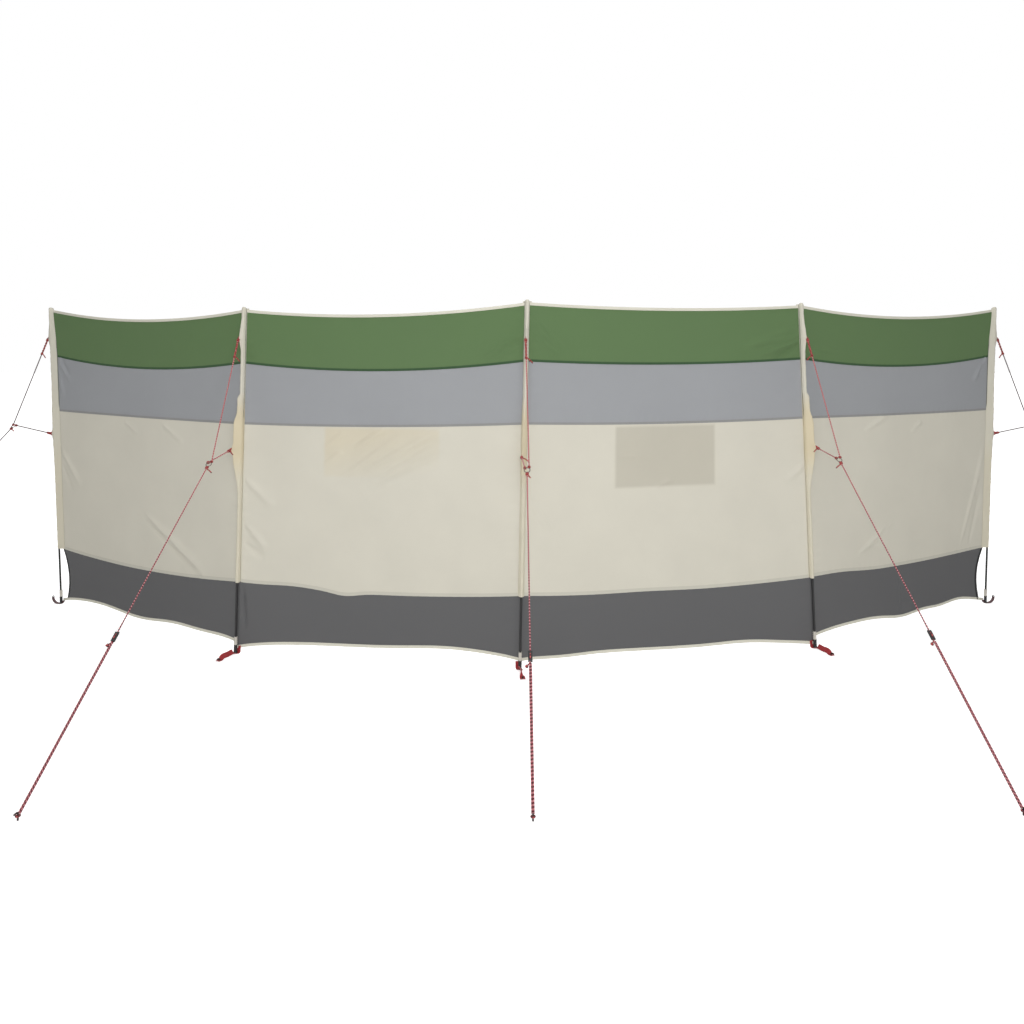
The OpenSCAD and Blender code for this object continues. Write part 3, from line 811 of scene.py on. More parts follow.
def cap_finish():
    made, shader = material_of("cap_black", 0.5)
    tree = made.node_tree
    place = add_node(tree, "ShaderNodeTexCoord").outputs["Object"]
    grain = noise(tree, place, 900.0, 2.0)
    scuff = noise(tree, place, 60.0, 4.0)
    colour = ramp(tree, scuff, (0.35, linear(14, 14, 15)), (0.75, linear(38, 38, 39)))
    tree.links.new(colour, shader.inputs["Base Color"])
    tree.links.new(ramp(tree, scuff, (0.3, 0.42), (0.7, 0.62)), shader.inputs["Roughness"])
    tree.links.new(bump(tree, grain, 0.0001, 0.5), shader.inputs["Normal"])
    return made


CAP_OUTLINE = [(0, 0), (0.0074, 0), (0.0080, 0.0006), (0.0080, 0.0045), (0.0074, 0.0055),
               (0.0070, 0.0065)]
for rib in range(5):
    foot = 0.0080 + rib * 0.0038
    CAP_OUTLINE += [(0.0066, foot), (0.0072, foot + 0.0007), (0.0072, foot + 0.0019),
                    (0.0066, foot + 0.0026)]
CAP_OUTLINE += [(0.0066, 0.0290), (0.0073, 0.0305), (0.0073, 0.0345), (0.0068, CAP_H),
                (0.0056, CAP_H), (0.0050, 0.0352), (0.0050, 0.0042), (0, 0.0042)]
cap_black = cap_finish()
piece("foot_cap_set", [turned(np.append(rod_xy(i, 0.0), 0.0), rod_way(i), CAP_OUTLINE)
                       for i in range(RODS)], cap_black, "cap_plastic", "foot_caps")

# Tape loops ------------------------------------------------------------------------------
# Below each skirt a loop of binding tape runs round the rod, just above its cap, and its
# two tails are sewn into the ends of the bottom bindings.
LOOP_LOW, LOOP_HIGH = CAP_H + 0.0003, CAP_H + 0.034


def foot_loop(i):
    z = np.linspace(LOOP_LOW, LOOP_HIGH, 9)
    rows, uvs = [], []
    for k, height in enumerate(z):
        centre = rod_xy(i, height)
        b = min(i, BAYS - 1)
        out_back = np.array([0.0, 1.0])
        spread = 0.0045 + 0.0015 * math.sin(3 * k + i)
        tail = centre + out_back * (CLOTH_BACK - 0.0012)
        start, end = tail - [spread, 0], tail + [spread, 0]
        slack = ROD_R + 0.0012 + 0.0006 * math.sin(1.7 * k + 2 * i)
        line, run = resampled(wrapped(circle(*centre, slack, 24), start, end), 26)
        rows.append(np.column_stack([line, np.full(26, height)]))
        uvs.append(np.column_stack([run, np.full(26, height)]))
    return layer(np.array(rows), np.array(uvs), 0.0011)


loop_tape = cloth_finish("loop_tape", (205, 200, 190))
piece("foot_loop_set", [foot_loop(i) for i in range(RODS)], loop_tape, "binding_tape",
      "tape_loops")

# Storage pockets -------------------------------------------------------------------------
# Two flat pockets are sewn to the back of the middle bays. Each is open at the top, where
# a hem stiffens its mouth, and it stands a little away from the wall below.
POCKET_BACK = 0.0016


def pocket_parts(b):
    left, right, low, high = pocket_box(b)
    u, v = np.linspace(0, 1, 56), np.linspace(0, 1, 30)[:, None]
    x = left + (right - left) * u + 0 * v
    z = low + (high - low) * v + 0 * u
    belly = 0.005 * np.sin(math.pi * u) ** 0.7 * np.sin(math.pi * np.clip(v, 0, 0.8) / 1.1)
    crumple = 0.0010 * np.sin(23 * x + 31 * z) * np.sin(17 * x - 12 * z) * np.sin(math.pi * u)
    bag = layer(cloth_point(b, x, z, -POCKET_BACK - belly - crumple), flat_uv(x, z))
    rim = v[:4] * 0 + np.linspace(-0.014, 0.0, 4)[:, None]
    x = left + (right - left) * u + 0 * rim
    z = high + rim + 0 * u
    lift = 0.005 * np.sin(math.pi * u) ** 0.7 * math.sin(math.pi * 0.8 / 1.1)
    mouth = layer(cloth_point(b, x, z, -POCKET_BACK - lift - 0.0009), flat_uv(x, z), 0.0012)
    return [bag, mouth]


pocket_cloths = {1: cloth_finish("tan_pocket_cloth", (212, 198, 164)),
                 2: cloth_finish("grey_pocket_cloth", (158, 154, 146))}
pockets = {b: piece(f"rear_pocket_{b + 1}", pocket_parts(b), pocket_cloths[b], "pocket_cloth",
                    "storage_pockets") for b in POCKETS}

# Guys ------------------------------------------------------------------------------------
# Two legs of braided cord run from tabs on each sleeve to a steel ring, and one cord from
# the ring through a runner, round a peg and back. The braid is red with pale flecks. At
# the tabs and rings it is tied back on itself in a wrapped knot with a loose tail.
CORD_R = 0.0025
RING_OUTS = [0.270, 0.267, 0.276, 0.293, 0.270]
RING_ZS = [0.894, 0.842, 0.853, 0.852, 0.894]
RING_R = 0.011
PEG_OUTS = [1.360, 1.278, 1.087, 1.307, 1.360]
RUNNER_SHARES = [0.58, 0.58, 0.61, 0.59, 0.58]
PEG_R = 0.0025
GUY_PEG_H = 0.026
TAB_OUT = 0.0200
LEG_TURN = 45
# Which side each guy's loose ends hang to: 1 is to its right
TAIL_WAYS = [-1, 1, 1, -1, 1]


def unit(v):
    return np.asarray(v, float) / np.linalg.norm(v)


def out_from(i, out, z):
    """A place out from rod i along its guy's bearing."""
    return np.append(rod_xy(i, z) + out * out_way(GUY_BEARINGS[i]), z)


def ring_place(i):
    return out_from(i, RING_OUTS[i], RING_ZS[i])


def peg_place(i):
    return out_from(i, PEG_OUTS[i], 0.0)


def tab_root(i, z):
    return np.append(rod_xy(i, z) + sleeve_draw(i, z)[0], z)


def main_way(i):
    """The way of the cord from a ring down to its peg."""
    return unit(peg_place(i) + np.array([0, 0, GUY_PEG_H / 2]) - ring_place(i))


def ring_edge(i, turn):
    """A place on a ring's wire, turned from its far side: it lies along its main cord."""
    sideways = np.append(out_way(GUY_BEARINGS[i] + 90), 0)
    turn = math.radians(turn)
    return ring_place(i) + RING_R * (math.sin(turn) * sideways - math.cos(turn) * main_way(i))


def sweep(line, outline, up=None, closed=False):
    """A closed solid: a closed outline of (side, up) points carried along a line."""
    line = np.asarray(line, float)
    if closed:
        way = np.roll(line, -1, axis=0) - np.roll(line, 1, axis=0)
    else:
        way = np.gradient(line, axis=0)
    way = way / np.linalg.norm(way, axis=1)[:, None]
    frames = []
    side = across(way[0])[0]
    ups = np.broadcast_to(np.zeros(3) if up is None else up, way.shape)
    for t, above in zip(way, ups):
        side = side - t * (side @ t)
        if np.linalg.norm(np.cross(above, t)) > 1e-6:
            side = np.cross(above, t)
        side = side / np.linalg.norm(side)
        frames.append((side, np.cross(t, side)))
    outline = np.asarray(outline, float)
    rings = np.array([p + outline[:, :1] * s + outline[:, 1:] * n
                      for p, (s, n) in zip(line, frames)])
    count, sides = rings.shape[:2]
    at = np.arange(count * sides).reshape(count, sides)
    nxt = np.roll(at, -1, axis=1)
    faces = np.stack([at[:-1], nxt[:-1], nxt[1:], at[1:]], -1).reshape(-1, 4).tolist()
    if closed:
        faces += np.stack([at[-1], nxt[-1], nxt[0], at[0]], -1).tolist()
    else:
        faces += [at[0, ::-1].tolist(), at[-1].tolist()]
    run = np.append(0, np.cumsum(np.linalg.norm(np.diff(line, axis=0), axis=1)))
    uv = np.stack(np.broadcast_arrays(np.arange(sides) / sides, run[:, None]), -1)
    return rings.reshape(-1, 3), faces, uv.reshape(-1, 2)


def round_outline(radius, sides=8):
    return circle(0, 0, radius, sides)


def cord(line, radius=CORD_R, sides=8):
    return sweep(line, round_outline(radius, sides))


def straight(a, b, count=24):
    return np.linspace(a, b, count)


def coil(start, way, radius, turns, pitch, phase=0.0):
    """A helix round a line: the path of a cord wrapped round another."""
    side, other = across(way)
    t = np.linspace(0, turns, int(turns * 12) + 1)
    angle = 2 * math.pi * t + phase
    return (start + np.outer(t * pitch, unit(way)) + radius * np.outer(np.cos(angle), side)
            + radius * np.outer(np.sin(angle), other))


def tail(start, way, length=0.028, droop=0.012):
    """A short loose end that bends down under its own weight."""
    t = np.linspace(0, 1, 9)[:, None]
    return start + unit(way) * length * t + np.array([0, 0, -droop]) * t ** 2


def tied_back(start, way, doubled, loose):
    """A cord tied back on itself: a wrapped knot, a doubled length and a smaller wrap."""
    parts = [cord(coil(start, way, CORD_R * 1.7, 3, 0.0036))]
    for phase in (0.0, math.pi):
        parts.append(cord(coil(start, way, CORD_R * 0.95, 3, doubled / 3, phase)))
    end = start + unit(way) * doubled
    parts.append(cord(coil(end - unit(way) * 0.004, way, CORD_R * 1.5, 2, 0.0036)))
    parts.append(cord(tail(end, loose)))
    return parts


def guy_parts(i):
    """The cords of a guy, and its knots and doubled ends."""
    ring = ring_place(i)
    cords, knots = [], []
    sideways = np.append(out_way(GUY_BEARINGS[i] + 90), 0)
    drop = TAIL_WAYS[i]
    for z, doubled, turn in ((UPPER_TAB_Z, 0.085, LEG_TURN), (LOWER_TAB_Z, 0.016, -LEG_TURN)):
        start = tab_root(i, z) + TAB_OUT * np.append(out_way(TAB_BEARINGS[i]), 0)
        reach = ring_edge(i, turn)
        way = unit(reach - start)
        cords.append(cord(straight(start, reach)))
        knots += tied_back(start + way * 0.002, way, doubled, drop * sideways * 0.7 + way * 0.3)
        knots.append(cord(coil(reach - way * 0.008, way, CORD_R * 1.6, 2, 0.0034)))
    peg = peg_place(i) + np.array([0, 0, GUY_PEG_H / 2])
    way = unit(peg - ring)
    start, end = ring + way * RING_R, peg - way * (PEG_R + 0.004)
    line = straight(start, end, 90)
    past = (line - ring) @ way - RUNNER_SHARES[i] * np.linalg.norm(peg - ring)
    apart = np.outer(CORD_R * smooth(past, -0.004, 0.030), unit(np.cross([0, 0, 1], way)))
    cords.append(cord(line - apart))
    cords.append(cord((line + apart)[past > 0.012]))
    knots.append(cord(coil(start + way * 0.002, way, CORD_R * 1.7, 3, 0.0036)))
    loose = 0.014 if i == RODS // 2 else 0.030
    knots.append(cord(tail(start + way * 0.012, drop * sideways + way * 0.5, loose, 0.006)))
    loop = circle(0, 0, PEG_R + CORD_R + 0.0004, 24)
    ringed = np.column_stack([peg[0] + loop[:, 0], peg[1] + loop[:, 1], np.full(24, peg[2])])
    knots.append(sweep(ringed, round_outline(CORD_R), up=(0, 0, 1), closed=True))
    return cords, knots


def cord_finish(name, low, high):
    """Braided cord of three colours of strand, paler higher up: from its low colours to its high
    ones between about 0.45 m and 0.85 m up.
    """
    made, shader = material_of(name, 0.75, sheen=0.15)
    tree = made.node_tree
    place = add_node(tree, "ShaderNodeUVMap", uv_map="cloth").outputs["UV"]
    apart = add_node(tree, "ShaderNodeSeparateXYZ", Vector=place)
    strands = []
    for lean in (1.0, -1.0):
        along = add_node(tree, "ShaderNodeMath", operation="MULTIPLY")
        tree.links.new(apart.outputs["Y"], along.inputs[0])
        along.inputs[1].default_value = 2 * math.pi / 0.021
        around = add_node(tree, "ShaderNodeMath", operation="MULTIPLY_ADD")
        tree.links.new(apart.outputs["X"], around.inputs[0])
        around.inputs[1].default_value = lean * 4 * math.pi
        tree.links.new(along.outputs[0], around.inputs[2])
        strands.append(add_node(tree, "ShaderNodeMath", operation="SINE").outputs[0])
        tree.links.new(around.outputs[0], strands[-1].node.inputs[0])
    both = add_node(tree, "ShaderNodeMath", operation="MULTIPLY")
    for strand, socket in zip(strands, both.inputs):
        tree.links.new(strand, socket)
    braid = both.outputs[0]
    spot = add_node(tree, "ShaderNodeTexCoord").outputs["Object"]
    height = add_node(tree, "ShaderNodeSeparateXYZ", Vector=spot).outputs["Z"]
    mix = add_node(tree, "ShaderNodeMix", data_type="RGBA")
    tree.links.new(ramp(tree, height, (0.45, 0.0), (0.85, 1.0)), mix.inputs[0])
    for socket, strand_colours in ((mix.inputs[6], low), (mix.inputs[7], high)):
        stops = zip((0.02, 0.07, 0.38, 0.46), (strand_colours[k] for k in (0, 1, 1, 2)))
        tree.links.new(ramp(tree, braid, *((at, linear(*c)) for at, c in stops)), socket)
    tree.links.new(mix.outputs[2], shader.inputs["Base Color"])
    tree.links.new(bump(tree, braid, 0.0003, 0.6), shader.inputs["Normal"])
    return made


guy_cord = cord_finish("guy_cord", ((58, 8, 24), (184, 24, 44), (232, 178, 182)),
                       ((150, 56, 64), (190, 82, 86), (232, 190, 186)))
knot_cord = cord_finish("guy_knots", ((60, 20, 30), (156, 30, 38), (200, 96, 90)),
                        ((110, 26, 30), (172, 44, 42), (204, 104, 92)))
# The end guys' braid is painted much darker than the red one: painted shade, for how dark these
# thin cords look when lit from behind.
shaded_end_cord = cord_finish("end_guy_cord_painted_shade", ((30, 20, 26), (84, 44, 50), (168, 148, 146)),
                       ((44, 34, 36), (92, 68, 70), (156, 140, 138)))
for i in range(RODS):
    cords, knots = guy_parts(i)
    braid = shaded_end_cord if is_end(i) else guy_cord
    piece(f"guy_cord_{i + 1}", cords, braid, "guy_cord", f"guy_{i + 1}")
    piece(f"guy_knots_{i + 1}", knots, knot_cord, "guy_cord")

# Guy tabs --------------------------------------------------------------------------------
# A short red tape is folded double and caught in the side of the sleeve, so that its fold
# holds the guy's loop.


def tab_parts(i, z):
    """A loop of tape that stands out from the sleeve, upright and open at both sides."""
    way = np.append(out_way(TAB_BEARINGS[i]), 0)
    up = np.array([0, 0, 1.0])
    root = tab_root(i, z)
    path = [(0.0075, 0.006), (0.011, 0.0065), (0.015, 0.0055), (0.0185, 0.003), (0.0198, 0.0),
            (0.0185, -0.003), (0.015, -0.0055), (0.011, -0.0065), (0.0075, -0.006)]
    line = np.array([root + way * out + up * rise for out, rise in path])
    half, thin = 0.0040, 0.0006
    return sweep(line, [(-half, -thin), (half, -thin), (half, thin), (-half, thin)],
                 up=np.append(out_way(TAB_BEARINGS[i] + 90), 0))


def webbing_finish(name, colour):
    made, shader = material_of(name, 0.7, sheen=0.2)
    tree = made.node_tree
    place = add_node(tree, "ShaderNodeUVMap", uv_map="cloth").outputs["UV"]
    rib = add_node(tree, "ShaderNodeTexWave", bands_direction="Y", Vector=place,
                   Scale=130.0, Distortion=1.0, Detail=2.0).outputs["Fac"]
    base = linear(*colour)
    tint = ramp(tree, rib, (0.2, [c * 0.55 for c in base]), (0.7, base))
    tree.links.new(tint, shader.inputs["Base Color"])
    tree.links.new(bump(tree, rib, 0.0004, 0.6), shader.inputs["Normal"])
    return made


webbing = webbing_finish("red_webbing", (176, 38, 44))
piece("guy_tab_set", [tab_parts(i, z) for i in range(RODS) for z in (UPPER_TAB_Z, LOWER_TAB_Z)],
      webbing, "red_webbing", "guy_tabs")

# Rings -----------------------------------------------------------------------------------
# Each ring is round steel wire, bent, welded and nickel plated, and tarnished a little by
# salt air. The model's own rings are right and get that finish.


def metal_finish(name, dark, light, roughness):
    made, shader = material_of(name, roughness, metallic=1.0)
    tree = made.node_tree
    place = add_node(tree, "ShaderNodeTexCoord").outputs["Object"]
    tarnish = noise(tree, place, 140.0, 4.0)
    colour = ramp(tree, tarnish, (0.3, linear(*dark)), (0.7, linear(*light)))
    tree.links.new(colour, shader.inputs["Base Color"])
    rough = ramp(tree, tarnish, (0.3, roughness + 0.15), (0.7, roughness - 0.05))
    tree.links.new(rough, shader.inputs["Roughness"])
    tree.links.new(bump(tree, noise(tree, place, 700.0), 0.0001, 0.3), shader.inputs["Normal"])
    return made


ring_metal = metal_finish("ring_nickel", (70, 64, 60), (128, 120, 112), 0.30)
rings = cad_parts["guy_rings"]
rings.data.materials.clear()
rings.data.materials.append(ring_metal)

# Runners ---------------------------------------------------------------------------------
# A moulded black runner slides on each guy to set its tension. It is a flat frame of two
# rails and three bars; the cord is laced over and under the bars, and its end is knotted.
RUNNER_L, RUNNER_W, RUNNER_T = 0.034, 0.014, 0.007


def rounded(half_a, half_b, radius, steps=3):
    """A closed outline: a rectangle with rounded corners."""
    corners = []
    for k, (a, b) in enumerate([(1, 1), (-1, 1), (-1, -1), (1, -1)]):
        for s in range(steps + 1):
            angle = math.pi / 2 * (k + s / steps)
            corners.append((a * (half_a - radius) + radius * math.cos(angle),
                            b * (half_b - radius) + radius * math.sin(angle)))
    return corners


def runner_parts(i):
    ring, peg = ring_place(i), peg_place(i) + np.array([0, 0, GUY_PEG_H / 2])
    middle = ring + (peg - ring) * RUNNER_SHARES[i]
    way = unit(peg - ring)
    side = unit(np.cross([0, 0, 1], way))
    lift = np.cross(way, side)
    parts = []
    rail = RUNNER_W / 2 - 0.0024
    for sign in (1, -1):
        ends = [middle + side * rail * sign + way * RUNNER_L / 2 * k for k in (-1, -0.9, 0.9, 1)]
        parts.append(sweep(ends, rounded(0.0024, RUNNER_T / 2, 0.0014), up=lift))
    for k in (-1, 0, 1):
        centre = middle + way * k * (RUNNER_L / 2 - 0.0036)
        ends = [centre - side * rail, centre + side * rail]
        parts.append(sweep(ends, rounded(0.0036, RUNNER_T / 2 - 0.0006, 0.0018), up=lift))
    return parts, middle, way, side, lift


runner_black = cap_black.copy()
runner_black.name = "runner_black"
runner_all, ends_all = [], []
for i in range(RODS):
    parts, middle, way, side, lift = runner_parts(i)
    runner_all += parts
    knot = middle + way * (RUNNER_L / 2 + 0.004) - lift * 0.001
    ends_all.append(cord(tail(knot, way * 0.5 - side * 0.8, 0.012, 0.002)))
    tip = tail(knot, way * 0.5 - side * 0.8, 0.012, 0.002)[-1]
    ends_all.append(cord(coil(tip, way * 0.8 - side * 0.5, CORD_R * 1.2, 2, 0.003)))
    weave = np.linspace(-1, 1, 33)
    ends_all.append(cord(np.array([middle + way * w * (RUNNER_L / 2 + 0.004)
                                   + lift * 0.0046 * math.cos(math.pi * w) for w in weave])))
piece("cord_runner_set", runner_all, runner_black, "cap_plastic", "guy_runners")
piece("runner_tails", ends_all, knot_cord, "guy_cord")

# Foot straps -----------------------------------------------------------------------------
# A red webbing strap hangs from the hem at each rod. The cap stands in its eyelet, and its
# tail runs out to a peg at the inner rods, or curls up where the end rods need none.
STRAP_HALF, STRAP_T, STRAP_L = 0.011, 0.0018, 0.105
STRAP_BEARINGS = [-90, -24, 6, 23, 90]
CURL_R = 0.030
# How far each inner strap's leg hangs beside its cap: positive is to the right
STRAP_SHIFTS = [0, 0.008, -0.006, -0.008, 0]


def foot_place(i):
    return np.append(rod_xy(i, 0.0), 0.0)


def strap_path(i):
    """Points of the strap from the hem down, past the cap and out: (outward, height)."""
    hem = 0.030 if i not in (0, RODS - 1) else 0.016
    side = -0.0105
    fall = [(side - 0.0015, hem), (side - 0.001, hem * 0.6), (side, 0.006), (side + 0.003, 0.002)]
    if is_end(i):
        arc = [(0.011 + CURL_R * math.sin(a), STRAP_T / 2 + CURL_R * (1 - math.cos(a)))
               for a in np.radians(np.linspace(0, 95, 12))]
        return fall + [(-0.004, STRAP_T / 2), (0.006, STRAP_T / 2)] + arc
    waves = np.linspace(0.0, STRAP_L, 12)
    return fall + [(w, STRAP_T / 2 + 0.0016 * math.sin(w * 70) ** 2) for w in waves]


def strap_parts(i):
    way = np.append(out_way(STRAP_BEARINGS[i]), 0)
    root = foot_place(i)
    line = np.array([root + way * out + np.array([0, 0, z]) for out, z in strap_path(i)])
    line, _ = resampled(line, 48)
    across_way = np.append(out_way(STRAP_BEARINGS[i] + 90), 0)
    outline = rounded(STRAP_T / 2, STRAP_HALF, 0.0006, 2)
    if is_end(i):
        return sweep(line, outline, up=across_way)
    out = (line - root) @ way
    line += np.outer(smooth(-out, -0.004, 0.008) * STRAP_SHIFTS[i], across_way)
    twist = math.radians(62) * smooth(out, 0.004, 0.022) * (1 - smooth(out, 0.074, 0.092))
    twist = twist * (-1 if i < RODS / 2 else 1)
    line[:, 2] += np.abs(np.sin(twist)) * STRAP_HALF * 0.98
    up = np.outer(np.cos(twist), across_way) + np.outer(np.sin(twist), [0, 0, 1.0])
    return sweep(line, outline, up=up)


def eyelet(centre, way, radius, wire=0.0012):
    side, other = across(way)
    angle = np.linspace(0, 2 * math.pi, 33)[:-1]
    ring = centre + radius * (np.outer(np.cos(angle), side) + np.outer(np.sin(angle), other))
    return sweep(ring, round_outline(wire, 8), up=way, closed=True)


inner_rods, end_rods = range(1, RODS - 1), (0, RODS - 1)
piece("foot_strap_set", [strap_parts(i) for i in inner_rods], webbing, "red_webbing",
      "foot_straps")
piece("end_strap_pair", [strap_parts(i) for i in end_rods],
      webbing_finish("dark_red_webbing", (72, 16, 26)), "red_webbing", "foot_straps")
peg_steel = metal_finish("peg_steel", (52, 40, 42), (92, 76, 76), 0.38)
eyelets = [eyelet(foot_place(i) + np.array([0, 0, STRAP_T + 0.0006]), (0, 0, 1), 0.0088)
           for i in range(RODS)]

# Pegs ------------------------------------------------------------------------------------
# The pegs are bent steel wire, pushed into the ground up to their hooks. Only what stands
# above the ground is modelled. The end straps' free tips carry a plain hook.
HOOK_L = 0.015


def peg_line(place, bearing, height):
    way = np.append(out_way(bearing), 0)
    bend = 0.005
    top = height - PEG_R
    points = [place + np.array([0, 0, z]) for z in np.linspace(0, top - bend, 4)]
    for a in np.radians(np.linspace(12, 90, 7)):
        points.append(place + way * bend * (1 - math.cos(a))
                      + np.array([0, 0, top - bend + bend * math.sin(a)]))
    for out in (0.008, 0.011, 0.0135, HOOK_L):
        points.append(place + way * out + np.array([0, 0, top - 12 * (out - 0.008) ** 2]))
    return cord(points, PEG_R, 12)


pegs = [peg_line(peg_place(i), GUY_BEARINGS[i], GUY_PEG_H) for i in range(RODS)]
for i in range(1, RODS - 1):
    way = np.append(out_way(STRAP_BEARINGS[i]), 0)
    place = foot_place(i) + way * (STRAP_L - STRAP_HALF)
    pegs.append(peg_line(place, STRAP_BEARINGS[i], 0.013))
    eyelets.append(eyelet(place + np.array([0, 0, STRAP_T + 0.0008]), (0, 0, 1), 0.0040))
piece("ground_peg_set", pegs, peg_steel, "peg_steel", "ground_pegs")
piece("strap_eyelets", eyelets, ring_metal, "ring_metal")
tips = []
for i in (0, RODS - 1):
    way = np.append(out_way(STRAP_BEARINGS[i]), 0)
    tip = foot_place(i) + way * (0.011 + CURL_R) + np.array([0, 0, CURL_R])
    angle = np.radians(np.linspace(-60, 200, 16))
    hook = [tip + way * 0.005 * math.cos(a) + np.array([0, 0, 0.004 + 0.005 * math.sin(a)])
            for a in angle]
    tips.append(cord(hook, 0.0018, 10))
piece("strap_hooks", tips, cap_black, "cap_plastic")

# Stitching -------------------------------------------------------------------------------
# Every seam and binding is sewn with thread that shows as a row of short stitches on both
# faces. Each row follows its seam, and a stitch is set on it at an even pitch.
STITCH_PITCH, STITCH_L, STITCH_R = 0.007, 0.0048, 0.00045


def thread_finish(name, colour):
    made, shader = material_of(name, 0.6, sheen=0.1)
    tree = made.node_tree
    place = add_node(tree, "ShaderNodeTexCoord").outputs["Object"]
    tint = noise(tree, place, 300.0, 2.0)
    base = linear(*colour)
    mixed = ramp(tree, tint, (0.3, [c * 0.8 for c in base]), (0.7, base))
    tree.links.new(mixed, shader.inputs["Base Color"])
    return made


def stitch_tree():
    """Lays stitches along edges: pitch, length and radius in metres, and the thread."""
    tree = bpy.data.node_groups.new("stitch_rows", "GeometryNodeTree")
    face = tree.interface
    face.new_socket("Rows", in_out="INPUT", socket_type="NodeSocketGeometry")
    for word in ("Pitch", "Length", "Radius"):
        face.new_socket(word, in_out="INPUT", socket_type="NodeSocketFloat")
    face.new_socket("Thread", in_out="INPUT", socket_type="NodeSocketMaterial")
    face.new_socket("Stitches", in_out="OUTPUT", socket_type="NodeSocketGeometry")
    new, link = tree.nodes.new, tree.links.new
    given, result = new("NodeGroupInput"), new("NodeGroupOutput")
    curve = new("GeometryNodeMeshToCurve")
    link(given.outputs["Rows"], curve.inputs[0])
    spaced = new("GeometryNodeResampleCurve")
    spaced.mode = "LENGTH"
    link(curve.outputs[0], spaced.inputs["Curve"])
    link(given.outputs["Pitch"], spaced.inputs["Length"])
    bead = new("GeometryNodeMeshUVSphere")
    bead.inputs["Segments"].default_value = 4
    bead.inputs["Rings"].default_value = 2
    bead.inputs["Radius"].default_value = 1.0
    half = new("ShaderNodeMath")
    half.operation = "MULTIPLY"
    half.inputs[1].default_value = 0.5
    link(given.outputs["Length"], half.inputs[0])
    size = new("ShaderNodeCombineXYZ")
    link(given.outputs["Radius"], size.inputs[0])
    link(given.outputs["Radius"], size.inputs[1])
    link(half.outputs[0], size.inputs[2])
    shaped = new("GeometryNodeTransform")
    link(bead.outputs["Mesh"], shaped.inputs["Geometry"])
    link(size.outputs[0], shaped.inputs["Scale"])
    tangent = new("GeometryNodeInputTangent")
    turn = new("FunctionNodeAlignRotationToVector")
    turn.axis = "Z"
    link(tangent.outputs[0], turn.inputs["Vector"])
    placed = new("GeometryNodeInstanceOnPoints")
    link(spaced.outputs[0], placed.inputs["Points"])
    link(shaped.outputs[0], placed.inputs["Instance"])
    link(turn.outputs[0], placed.inputs["Rotation"])
    real = new("GeometryNodeRealizeInstances")
    link(placed.outputs[0], real.inputs[0])
    coloured = new("GeometryNodeSetMaterial")
    link(real.outputs[0], coloured.inputs["Geometry"])
    link(given.outputs["Thread"], coloured.inputs["Material"])
    link(coloured.outputs[0], result.inputs[0])
    return tree


stitches = stitch_tree()


def sewn(name, rows, thread):
    """A piece of real stitches along rows of points."""
    points, edges = [], []
    for row in rows:
        start = len(points)
        points += row.tolist()
        edges += [(start + k, start + k + 1) for k in range(len(row) - 1)]
    mesh = bpy.data.meshes.new(name + "_rows")
    mesh.from_pydata(points, edges, [])
    guide = bpy.data.objects.new(name + "_rows", mesh)
    bpy.context.scene.collection.objects.link(guide)
    modifier = guide.modifiers.new("stitches", "NODES")
    modifier.node_group = stitches
    values = {"Pitch": STITCH_PITCH, "Length": STITCH_L, "Radius": STITCH_R, "Thread": thread}
    for item in stitches.interface.items_tree:
        if item.in_out == "INPUT" and item.name in values:
            modifier[item.identifier] = values[item.name]
    graph = bpy.context.evaluated_depsgraph_get()
    done = bpy.data.meshes.new_from_object(guide.evaluated_get(graph))
    done.name = name
    bpy.data.objects.remove(guide)
    made = bpy.data.objects.new(name, done)
    bpy.context.scene.collection.objects.link(made)
    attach(made, "root")
    return made


def stitch_row(b, edge, drop, forward):
    width = mid_width(b)
    u = np.linspace(0.014 / width, 1 - 0.014 / width, 160)
    z = edge_z(edge, b, u) + drop
    return cloth_point(b, u * bay_width(b, z), z, forward)


cream_thread = thread_finish("cream_thread", (206, 202, 186))
green_thread = thread_finish("green_thread", (60, 84, 56))
grey_thread = thread_finish("grey_thread", (120, 120, 122))
for b in range(BAYS):
    face = SEAM_PROUD + 0.0004
    sewn(f"green_stitching_{b + 1}",
         [stitch_row(b, GREEN, drop, side * face) for drop in (0.003, -0.003) for side in (1, -1)],
         green_thread)
    sewn(f"grey_stitching_{b + 1}",
         [stitch_row(b, GREY, drop, side * face) for drop in (0.003, -0.003) for side in (1, -1)],
         grey_thread)
    rows = [stitch_row(b, CREAM, drop, side * face) for drop in (0.002, 0.011) for side in (1, -1)]
    rows += [stitch_row(b, edge, drop, side * (BINDING_T / 2 + 0.0001))
             for edge, drop in ((TOP, -0.009), (FOOT, 0.009)) for side in (1, -1)]
    sewn(f"cream_stitching_{b + 1}", rows, cream_thread)


def pocket_rows(b):
    left, right, low, high = pocket_box(b)
    z = np.linspace(low + 0.004, high, 60)
    rows = [cloth_point(b, np.full(60, x), z, -POCKET_BACK - 0.0008)
            for x in (left + 0.004, right - 0.004)]
    x = np.linspace(left + 0.004, right - 0.004, 80)
    rows.append(cloth_point(b, x, np.full(80, low + 0.004), -POCKET_BACK - 0.0010))
    return rows


sewn("pocket_stitching", [row for b in POCKETS for row in pocket_rows(b)], cream_thread)

# Cloth facts -----------------------------------------------------------------------------
# The area, width and greatest height of each band, and each pocket's box, are worked out here, and
# nothing uses them.


def grid_area(b, high_edge, low_edge, left, right):
    u = np.linspace(0, 1, 400)
    width = float(mid_width(b))
    tall = edge_z(high_edge, b, u) - edge_z(low_edge, b, u)
    return float(tall.mean()) * (width - left - right), width - left - right, float(tall.max())


